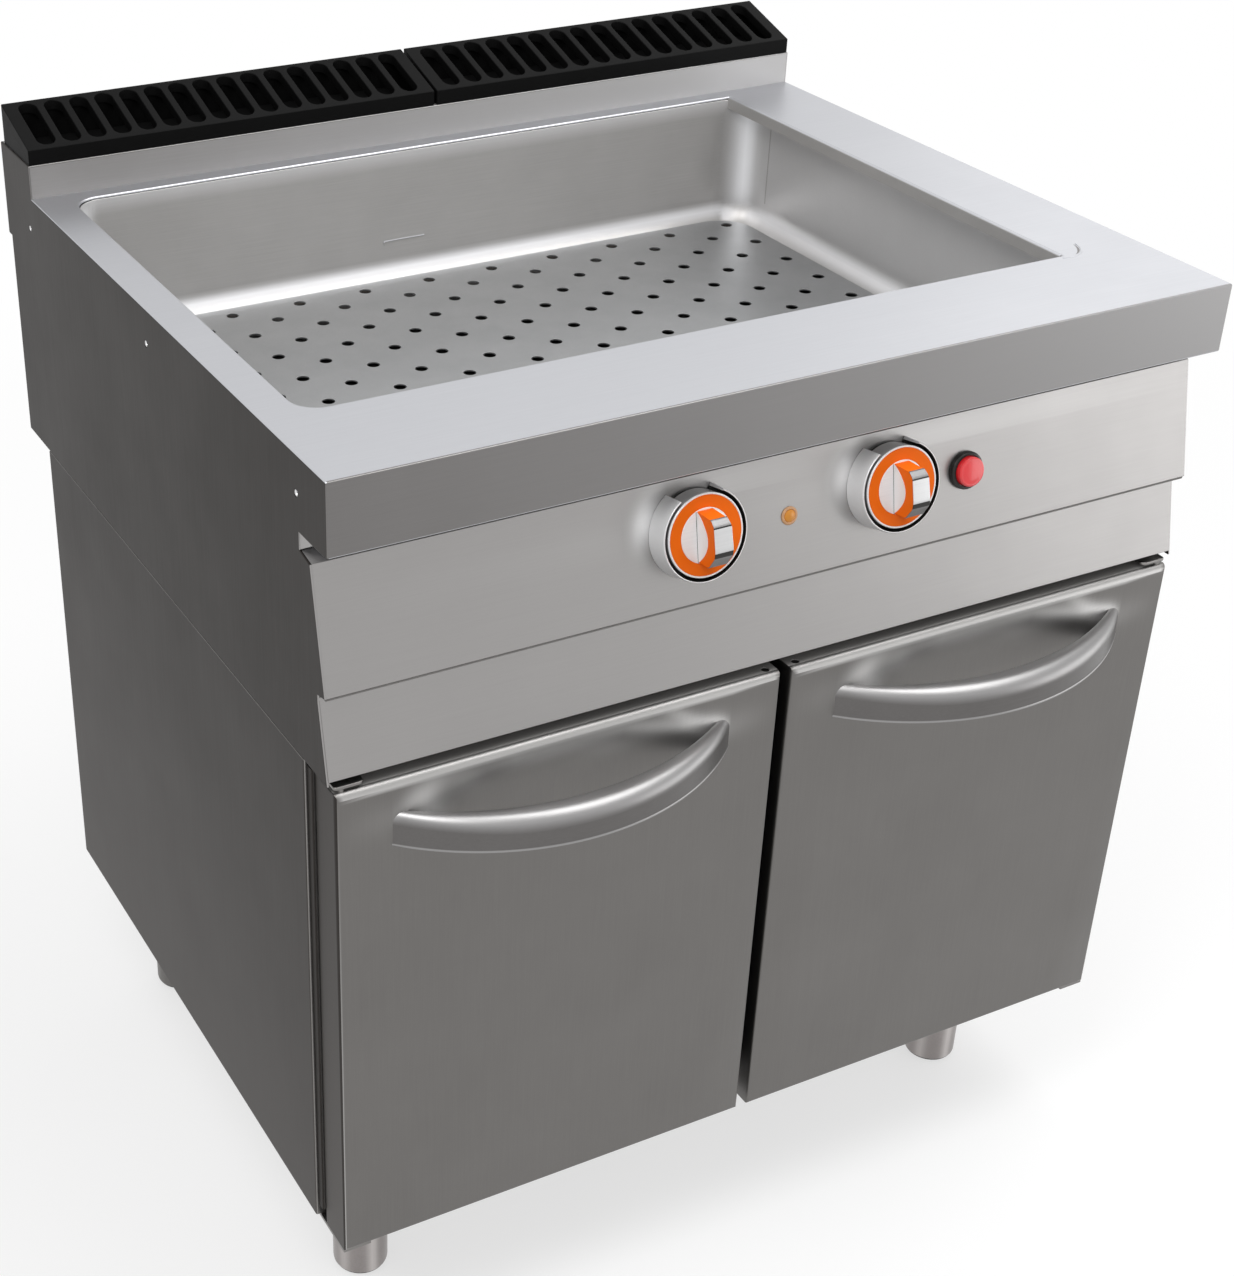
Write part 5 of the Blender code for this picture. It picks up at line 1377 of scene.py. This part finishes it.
@dataclass
class LampAndButton:
    """The amber lamp and the red push button in its black housing."""

    lamp: tuple[float, float] = (-2.0, 50.0)
    button: tuple[float, float] = (167.0, 48.0)

    def build(self) -> None:
        """Build the lamp and the button."""
        place = panel_frame(*self.lamp)
        lens = [(0, 2.5), (2, 2.35), (3.8, 1.9), (4.9, 1.3), (5.1, 0.6), (5.1, -8), (0, -8)]
        piece("amber_lens", Form().turn(lens, place, 40), AMBER_LENS, nodes=("indicator_lamp",))
        rim = [(5.2, 0.2), (5.2, 1.0), (5.7, 1.35), (6.8, 1.2), (7.4, 0.6), (7.5, 0.2)]
        piece("lamp_ring", Form().turn(rim, place, 48, closed=True), PEACH_RING)
        place = panel_frame(*self.button)
        bezel = [(0, -6), (12.7, -6), (12.7, 4.6), (13.0, 5.0), (13.5, 5.0), (13.8, 4.4), (14.3, 4.2),
                 (15.0, 3.8), (15.5, 3.0), (15.6, 0.3), (14.4, 0.3), (14.4, -34), (0, -34)]
        piece("button_bezel", Form().turn(bezel, place, 56), BLACK, nodes=("button_housing",))
        cap = [(0, 9.9), (5, 9.85), (8.6, 9.6), (10.0, 9.3), (10.4, 9.45), (11.2, 9.35), (12.0, 8.7), (12.2, 7.8),
               (12.2, -1.8), (0, -1.8)]
        piece("button_cap", Form().turn(cap, place, 56), RED_LENS, "push_button", ("push_button",))


@dataclass
class Cupboard:
    """The cupboard's walls, floor, posts, rail and catches."""

    front: float = 50.0
    rear: float = 636.0
    top: float = -250.6
    bottom: float = -714.0
    sheet: float = 1.2
    return_wide: float = 30.0
    post_outer: float = 397.6
    post_inner: float = 366.2
    post_front: float = 41.8
    post_rear: float = 49.6
    post_bottom: float = -702.0
    post_height: float = 447.0

    def build(self) -> None:
        """Build the walls and posts, and dress the frame's own sheets."""
        for side in Side:
            self.build_wall(side)
            self.build_post(side)
            dress("door_catch_" + side.word, BLACK)
        dress("cupboard_back", ZINC)
        dress("cupboard_floor", FRAME_STEEL)
        dress("front_top_rail", FRAME_STEEL)

    def build_wall(self, side: Side) -> None:
        """Build one wall with its folded front edge.

        Args:
            side: The wall's side.
        """
        outer, inner = side.value * HALF / MM, side.value * (HALF / MM - self.return_wide)
        corners = [plan(outer, self.rear), plan(outer, self.front), plan(inner, self.front)][::-side.value]
        levels = edges((self.top - self.bottom) * MM, 0.25 * MM, 0.5 * MM)
        form = Form().fold(corners, [0, 1.6, 0], self.sheet, levels, level(self.bottom))
        wall = piece("cupboard_wall_" + side.word, form, SIDE_STEEL, nodes=("cupboard_side_" + side.word,))
        # Painted light: the front edge and top take a lighter tone as a painted highlight, and the wall is
        # painted lighter toward its foot and front.
        refinish(wall, FRAME_STEEL, lambda normal, middle: normal.y < -0.75 or normal.z > 0.3)
        burnish(wall, self.floor_light)

    def floor_light(self, place: Vector, normal: Vector) -> float:
        """Give the share of painted light on a wall at a point: more toward its foot and its front.

        Args:
            place: The point.
            normal: Its normal, which doesn't matter here.

        Returns:
            The share.
        """
        down = (up(self.top) - place.z) / ((self.top - self.bottom) * MM)
        back = (place.y - at(self.front)) / ((self.rear - self.front) * MM)
        return 0.55 * down + 0.1 * (1 - back)

    def build_post(self, side: Side) -> None:
        """Build the folded post that the door closes on.

        Args:
            side: The post's side.
        """
        near, far = side.value * self.post_outer, side.value * self.post_inner
        corners = [plan(near, self.post_rear), plan(near, self.post_front), plan(far, self.post_front),
                   plan(far, self.post_rear)][::-side.value]
        form = Form().fold(corners, [0, 1.2, 1.2, 0], self.sheet, [(0, 0), (0, self.post_height * MM)],
                           level(self.post_bottom))
        post = piece("door_post_" + side.word, form, FRAME_STEEL, nodes=("front_post_" + side.word,))
        # Painted shade: the post's outer face in the groove takes the dark side tone.
        refinish(post, SIDE_STEEL, lambda normal, middle: abs(middle.x) > 390 * MM)


@dataclass
class Door(Sided):
    """One door with its bent edges, the dish pressed behind the handle, and the handle."""

    outer: float = 395.0
    inner: float = 5.3
    face: float = 4.3
    deep: float = 36.0
    top: float = -257.0
    bottom: float = -716.8
    top_bend: float = 5.5
    edge_bend: float = 2.2
    sheet: float = 1.1
    hem: float = 1.2
    bush: tuple[float, float] = (14.4, 14.0)
    bush_hole: float = 3.5
    dish_middle: float = -311.0
    dish_half: float = 147.0
    dish_half_high: float = 44.0
    dish_deep: float = 4.5
    handle_half: float = 149.0
    handle_reach: float = 59.2
    foot_half: float = 135.0
    foot_reach: float = 37.7
    handle_top: float = -286.5
    handle_bottom: float = -315.2
    # Where the dish's rim catches the light: place across and rise, lean, width, height and strength.
    glints: tuple[tuple[float, ...], ...] = (
        (-124, -281, 0.3, 17, 14, 0.62), (-92, -272, 0.0, 24, 14, 0.26), (-119, -293, 0.0, 14, 11, 0.4),
        (106, -274, -0.6, 24, 7, 0.34), (126, -293, 0.0, 18, 12, 0.5), (46, -280, 0.0, 28, 9, 0.1))

    @property
    def middle(self) -> float:
        """Give the door's middle across, in millimetres."""
        return self.side.value * (self.outer + self.inner) / 2

    def build(self) -> None:
        """Build the door's skin, its top flange and its handle, and dress its inner panel."""
        self.build_skin()
        self.build_flange()
        dress(self.named("door_inner"), FRAME_STEEL)
        self.build_handle()

    def dish(self, x: float, rise: float) -> float:
        """Give the depth of the pressed dish, in millimetres.

        Args:
            x: The place across, from the handle's middle.
            rise: The place above the worktop.

        Returns:
            How far the skin is pressed in.
        """
        span = (x / self.dish_half) ** 2 + ((rise - self.dish_middle) / self.dish_half_high) ** 2
        return self.dish_deep * max(0.0, 1 - span) ** 2

    @staticmethod
    def grid_lines(ends: tuple[float, float], fine: tuple[float, float], step: float) -> list[float]:
        """Give grid places between two ends, close together over a stretch.

        Args:
            ends: The first and last place.
            fine: The ends of the stretch.
            step: How far apart the places are there.

        Returns:
            The places.
        """
        count = round((fine[1] - fine[0]) / step)
        return [ends[0], *(fine[0] + (fine[1] - fine[0]) * i / count for i in range(count + 1)), ends[1]]

    def build_skin(self) -> None:
        """Build the skin as one sheet: front with its dish, bends, flanges and corner notches."""
        left, right = sorted((self.side.value * self.outer, self.side.value * self.inner))
        e, t = self.edge_bend, self.top_bend
        left, right, low, high = left + e, right - e, self.bottom + e, self.top - t
        xs = self.grid_lines((left, right), (self.middle - 150, self.middle + 150), 5.0)
        zs = self.grid_lines((low, high), (-352.0, -266.0), 2.5)
        wide = len(xs)
        form = Form()
        points = [Vector((x * MM, at(self.face + self.dish(x - self.middle, z)), up(z))) for z in zs for x in xs]
        faces = [(n, n + 1, n + wide + 1, n + wide) for n in range(wide * (len(zs) - 1)) if (n + 1) % wide]
        form.join(points, faces)
        self.bend_back(form, [(left, low), (right, low), (right, high), (left, high)],
                       [(-e, -e), (e, -e), (e, t), (-e, t)])
        skin = piece(self.named("door_sheet"), form, DOOR_STEEL, self.named("door"),
                     (self.named("door_skin"),), crease=34)
        # Painted shade on the side flanges, in the dark side tone, and painted highlights on the bends and round
        # the dish.
        refinish(skin, SIDE_STEEL, lambda normal, middle: abs(normal.x) > 0.8 and abs(middle.x) > 390 * MM)
        burnish(skin, self.worn)

    def bend_back(self, form: Form, corners: Sequence[tuple[float, float]],
                  grow: Sequence[tuple[float, float]]) -> None:
        """Add the bends at the four sides of the flat front, and the flanges behind all but the top.

        Args:
            form: The skin's form.
            corners: The corners of the flat front.
            grow: How far the bend goes across and up from each corner.
        """
        for a, b in ((0, 1), (1, 2), (2, 3), (3, 0)):
            shares = (0, 0.012, 0.988, 1) if a in (0, 2) else (0, 1)
            strips = []
            for i in range(7):
                sin, cos = math.sin(math.pi / 2 * i / 6), math.cos(math.pi / 2 * i / 6)
                pair = []
                for (x, z), (wide, high) in ((corners[a], grow[a]), (corners[b], grow[b])):
                    back = max(abs(wide), abs(high)) * (1 - cos)
                    pair.append(Vector(((x + wide * sin) * MM, at(self.face + back), up(z + high * sin))))
                strips.append([pair[0].lerp(pair[1], share) for share in shares])
            if a != 2:
                inward = Vector((0, 0, self.hem) if a == 0 else (-math.copysign(self.hem, grow[a][0]), 0, 0)) * MM
                strips.append([Vector((p.x, at(self.face + self.deep), p.z)) for p in strips[-1]])
                strips.append([p + inward for p in strips[-1]])
                strips.append([p - Vector((0, 1.0 * MM, 0)) for p in strips[-1]])
            form.loft(strips, closed=False, first=False, last=False)

    def worn(self, place: Vector, normal: Vector) -> float:
        """Give the share of painted light on the skin at a point: highlights on its bends and round its dish, and
        a gradient down the outer flange.

        Args:
            place: The point.
            normal: Its normal, which doesn't matter here.

        Returns:
            The share.
        """
        x, rise = place.x / MM - self.middle, (place.z - TOP_Z) / MM
        over = (rise - self.top + self.top_bend) / self.top_bend
        side = 1 - (self.outer * MM - abs(place.x)) / (self.edge_bend * MM)
        if side > 0.999:
            return 0.36 + 0.6 * (self.top - rise) / (self.top - self.bottom)
        if over > -0.05:
            edge = (self.outer - self.inner) / 2 - self.edge_bend - 1
            return 0.46 - 0.3 * over if abs(x) < edge else 0.0
        if side > 0:
            return 0.4 * math.sin(math.pi * side)
        return self.rim_light(x, rise)

    def rim_light(self, x: float, rise: float) -> float:
        """Give the share of painted highlight along the dish's upper rim and at its glints.

        Args:
            x: The place across, from the handle's middle.
            rise: The place above the worktop.

        Returns:
            The share.
        """
        right, left = max(0.0, x - 50), max(0.0, -70 - x)
        line = -268 - 0.27 * right - 0.45 * left
        share = (0.34 + 0.009 * min(right, 55)) * within((150 - abs(x)) / 14)
        share *= (1 - 0.75 * within((-45 - x) / 30)) * bell((rise - line) / 8)
        for across, middle, lean, wide, high, much in self.glints:
            share += much * bell((x - across) / wide, (rise - middle - lean * (x - across)) / high)
        return share

    def build_flange(self) -> None:
        """Build the flange along the door's top, with the bush near the other door."""
        left, right = sorted((self.side.value * self.outer * MM, self.side.value * self.inner * MM))
        depths = (at(self.face + self.top_bend), at(self.face + self.deep))
        outline = rectangle((left, right), depths, [0.2 * MM, 0.2 * MM, 6 * MM, 6 * MM])
        middle = (self.side.value * self.bush[0] * MM, at(self.bush[1]))
        form = Form().plate(outline, edges(self.sheet * MM, 0, 0.15 * MM, 2), level(self.top - self.sheet),
                            [circle(*middle, self.bush_hole * MM, 24)], rim=False)
        piece(self.named("door_flange"), form, FLANGE_STEEL, self.named("door"))
        plug = Form().turn([(0, -1.6), (4.6, -1.6), (4.6, -4), (0, -4)],
                           Matrix.Translation((*middle, up(self.top))), 24)
        piece(self.named("hinge_bush"), plug, BLACK, self.named("door"))

    def build_handle(self) -> None:
        """Build the bowed handle: rounded on top, flat in front, with a fine lip along its foot."""
        rings = []
        for i in range(49):
            t = -1 + 2 * i / 48
            outer = Vector(bow(self.handle_half, self.handle_reach, t))
            inner = Vector(bow(self.foot_half, self.foot_reach, t))
            ring = []
            for share, rise in self.section((outer - inner).length):
                p = inner.lerp(outer, share)
                ring.append(Vector(((self.middle + p.x) * MM, at(self.face) - max(p.y, -0.3) * MM, up(rise))))
            rings.append(ring)
        handle = piece(self.named("handle"), Form().loft(rings), HANDLE_STEEL, self.named("door"),
                       (self.named("door_handle"),), crease=45)
        burnish(handle, self.handle_sheen)

    def handle_sheen(self, place: Vector, normal: Vector) -> float:
        """Give the share of painted highlight on the handle: over its rounded top and along its lip.

        Args:
            place: The point.
            normal: Its normal.

        Returns:
            The share.
        """
        above = (place.z - TOP_Z) / MM - self.handle_bottom
        if above < 2.2:
            return 0.2
        return 0.2 * within((normal.z - 0.05) / 0.5) if above > 6 else 0.0

    def section(self, across: float) -> list[tuple[float, float]]:
        """Give the handle's section.

        Args:
            across: How thick the handle is there.

        Returns:
            Shares from the inner to the outer face, and rises.
        """
        low, high = self.handle_bottom, self.handle_top
        round_in, round_out = min(4.0, across * 0.22), min(13.0, across * 0.66)
        points = [(0.0, low + 0.4), (0.0, high - round_in)]
        for a in (math.pi / 2 * i / 6 for i in range(1, 6)):
            points.append((round_in * (1 - math.cos(a)) / across, high - round_in * (1 - math.sin(a))))
        for a in (math.pi / 2 * i / 8 for i in range(9)):
            points.append((1 - round_out * (1 - math.sin(a)) / across, high - round_out * (1 - math.cos(a))))
        lip = [(0.0, 2.4), (0.5, 1.9), (0.7, 1.2), (0.5, 0.4), (-0.3, 0.0)]
        return points + [(1.0 + off / across, low + rise) for off, rise in lip] + [(0.04, low)]


@dataclass
class HingeSet(Sided):
    """The upper and lower hinge brackets of one door."""

    outer: float = 394.7
    inner: float = 370.0
    front: float = 7.4
    rear: float = 49.0
    rise: float = -254.3
    pin: tuple[float, float] = (388.5, 11.0)
    pin_radius: float = 2.9
    pin_foot: float = -265.5

    def build(self) -> None:
        """Build the upper bracket with its pin, and dress the lower one."""
        s = self.side.value
        corners = [plan(s * x, depth) for x, depth in ((self.outer, self.front), (self.outer, self.rear),
                                                       (self.inner, self.rear), (self.inner, self.front))]
        outline = rounded(corners[::s], [r * MM for r in (3, 1, 1, 5)[::s]])
        form = Form().plate(outline, edges(2.6 * MM, 0.5 * MM, 0.7 * MM), level(self.rise))
        pin = circle(s * self.pin[0] * MM, at(self.pin[1]), self.pin_radius * MM, 24, way=1)
        form.plate(pin, edges(13 * MM, 0.5 * MM, 0.8 * MM), level(self.pin_foot))
        piece(self.named("upper_bracket"), form, FRAME_STEEL, nodes=(self.named("hinge_upper"),))
        dress(self.named("hinge_lower"), FRAME_STEEL)


@dataclass
class ScrewFoot(Sided):
    """A leg tube and the turned foot that screws out of it."""

    row: str
    depth: float
    inset_x: float = 74.5
    radius: float = 25.0
    head: float = 60.0
    top: float = 163.5

    def build(self) -> None:
        """Build the tube and the foot."""
        x = self.side.value * (HALF / MM - self.inset_x)
        place = Matrix.Translation((*plan(x, self.depth), 0))
        name = self.named(self.row)
        r, h = self.radius, self.head
        tube = [(0, self.top), (r, self.top), (r, h + 0.8), (r - 0.4, h + 0.35), (9, h + 0.35), (9, h + 3),
                (0, h + 3)]
        # Painted shade: the rear feet take the doors' darker tone.
        finish = FOOT_STEEL if self.row == "front" else DOOR_STEEL
        piece("leg_tube_" + name, Form().turn(tube, place, 48), finish, nodes=("leg_" + name,))
        foot = [(0, h + 80), (7.4, h + 80), (7.8, h + 78), (7.8, h), (r - 0.4, h), (r, h - 0.4), (r, 6.5),
                (r - 0.4, 4.3), (r - 1.6, 2.2), (r - 3.6, 0.8), (r - 6, 0.15), (r - 7, 0), (0, 0)]
        made = piece("turned_foot_" + name, Form().turn(foot, place, 48), finish, "foot_" + name,
                     ("foot_" + name,))
        # Painted shade on the faces that look down.
        refinish(made, SIDE_STEEL, lambda normal, middle: normal.z < -0.2)
        burnish(made, self.bright_bands)

    def bright_bands(self, place: Vector, normal: Vector) -> float:
        """Give the share of painted highlight on the foot's face, which is most on two upright bands in front.

        Args:
            place: The point, which doesn't matter here.
            normal: Its normal.

        Returns:
            The share.
        """
        angle = math.degrees(math.atan2(normal.x, -normal.y))
        bands = ((-62, 0.6), (2, 1.0)) if self.row == "front" else ()
        return sum(share * bell((angle - middle) / 12) for middle, share in bands)


class Works:
    """The heating, wiring and drain pieces of the frame, dressed as they are."""

    def build(self) -> None:
        """Give each of the frame's own works its finish."""
        for name in ("heating_rod_left", "heating_rod_right", "drain_pipe"):
            dress(name, FRAME_STEEL)
        for name in ("terminal_box", "cable_gland", "thermostat", "selector_switch"):
            dress(name, BLACK)
        dress("drain_valve", NICKEL)
        # The drain lever takes the red cap's finish and so glows faintly, which is painted light.
        dress("drain_lever", RED_LENS)


@dataclass
class Studio:
    """The camera, lamps, world and floor."""

    # The camera's place in metres and its angles in degrees, then its focal length, the frame and
    # the view's middle in pixels of the photograph.
    eye: tuple[float, float, float] = (-0.9320, -1.51285, 1.5178)
    tip: float = 58.855
    turn: float = -26.43
    focal: float = 2191.75
    high: float = 1276.0
    wide: float = 1234.0
    middle: tuple[float, float] = (406.08, 659.65)

    def build(self) -> None:
        """Build the studio."""
        self.build_camera()
        self.build_world()
        self.build_floor()
        self.add_lamp("overhead", (0.7, -0.4, 2.7), (0.1, 0.1, 0.75), (1.6, 1.6), 37)
        self.add_lamp("left", (-1.3, -0.8, 2.7), (0.2, 0.1, 0.8), (1.2, 1.2), 30)
        self.add_lamp("rear_right", (2.3, 1.5, 1.8), (0.3, 0.0, 0.85), (1.1, 1.1), 2.6)
        self.add_lamp("key", (2.5, -1.6, 0.5), (0.1, -0.2, 0.7), (2.4, 1.6), 21)
        bpy.context.scene.view_settings.view_transform = "Standard"

    def build_camera(self) -> None:
        """Build the camera at the photograph's angle."""
        data = bpy.data.cameras.new("camera")
        data.sensor_fit = "VERTICAL"
        data.sensor_height = 24.0
        data.lens = self.focal * data.sensor_height / self.high
        data.shift_x = (self.wide / 2 - self.middle[0]) / self.high
        data.shift_y = (self.middle[1] - self.high / 2) / self.high
        data.clip_start = 0.05
        camera = add_object("camera", data)
        camera.location = self.eye
        camera.rotation_euler = (math.radians(self.tip), 0.0, math.radians(self.turn))
        bpy.context.scene.camera = camera

    @staticmethod
    def seen(tree: bpy.types.NodeTree, *kinds: str) -> bpy.types.NodeSocket:
        """Add a share that is 1 for camera rays, glossy rays and further kinds, and 0 for all others.

        Args:
            tree: The tree that gets the nodes.
            kinds: The further kinds of ray, as the light path's outputs.

        Returns:
            The share.
        """
        path = add_node(tree, "ShaderNodeLightPath").outputs
        share = path["Is Camera Ray"]
        for kind in ("Is Glossy Ray", *kinds):
            share = add_node(tree, "ShaderNodeMath", {"operation": "MAXIMUM"},
                             {0: share, 1: path[kind]}).outputs[0]
        return share

    def build_world(self) -> None:
        """Build the world: white where it is seen or mirrored, and a soft grey fill elsewhere."""
        world = bpy.data.worlds.new("studio_world")
        bpy.context.scene.world = world
        tree = fresh_tree(world)
        fill = add_node(tree, "ShaderNodeBackground", {"Color": linear("FFFFFF"), "Strength": 0.6})
        white = add_node(tree, "ShaderNodeBackground", {"Color": linear("FFFFFF"), "Strength": 1.0})
        mix = add_node(tree, "ShaderNodeMixShader",
                       links={0: self.seen(tree, "Is Transmission Ray"), 1: fill.outputs[0],
                              2: white.outputs[0]})
        add_node(tree, "ShaderNodeOutputWorld", links={"Surface": mix.outputs[0]})

    def build_floor(self) -> None:
        """Build the pale floor, which keeps the cabinet's soft shadow and fades to white away from it."""
        material = bpy.data.materials.new("pale_floor")
        tree = fresh_tree(material)
        matt = add_node(tree, "ShaderNodeBsdfDiffuse", {"Color": linear("F4F4F4")})
        lift = add_node(tree, "ShaderNodeEmission", {"Color": linear("FFFFFF")}, {"Strength": self.seen(tree)})
        place = add_node(tree, "ShaderNodeTexCoord").outputs["Object"]
        away = add_node(tree, "ShaderNodeVectorMath", {"operation": "LENGTH"}, {0: place})
        share = add_node(tree, "ShaderNodeMapRange", {"From Min": 0.7, "From Max": 2.2, "To Min": 0.65},
                         {"Value": away.outputs["Value"]})
        mix = add_node(tree, "ShaderNodeMixShader",
                       links={0: share.outputs[0], 1: matt.outputs[0], 2: lift.outputs[0]})
        add_node(tree, "ShaderNodeOutputMaterial", links={"Surface": mix.outputs[0]})
        mesh = bpy.data.meshes.new("floor")
        mesh.from_pydata([(x, y, -0.5 * MM) for x, y in ((-30, -30), (30, -30), (30, 30), (-30, 30))], [],
                         [(0, 1, 2, 3)])
        mesh.materials.append(material)
        floor = add_object("floor", mesh)

    def add_lamp(self, name: str, place: Sequence[float], aim: Sequence[float], size: tuple[float, float],
                 power: float) -> None:
        """Add a soft rectangular lamp.

        Args:
            name: The lamp's name.
            place: Where it stands.
            aim: What it points at.
            size: Its width and height, in metres.
            power: Its power in watts.
        """
        data = bpy.data.lights.new(name, "AREA")
        data.shape = "RECTANGLE"
        data.size, data.size_y = size
        data.energy = power
        lamp = add_object(name, data)
        lamp.location = place
        lamp.rotation_euler = (Vector(aim) - Vector(place)).to_track_quat("-Z", "Y").to_euler()


def main() -> None:
    """Build the studio and every sub-assembly in order."""
    logging.basicConfig(level=logging.INFO, format="%(message)s")
    Studio().build()
    assemblies = [Worktop(), ModuleShell(), FrontPanels(), WaterWell(), LampAndButton(), Cupboard(), Works()]
    for side in Side:
        assemblies += [VentGrille(side), ControlKnob(side), Door(side), HingeSet(side),
                       ScrewFoot(side, "front", 124.0), ScrewFoot(side, "rear", 575.0)]
    for assembly in assemblies:
        LOG.info("Building %s", type(assembly).__name__)
        assembly.build()


if __name__ == "__main__":
    main()
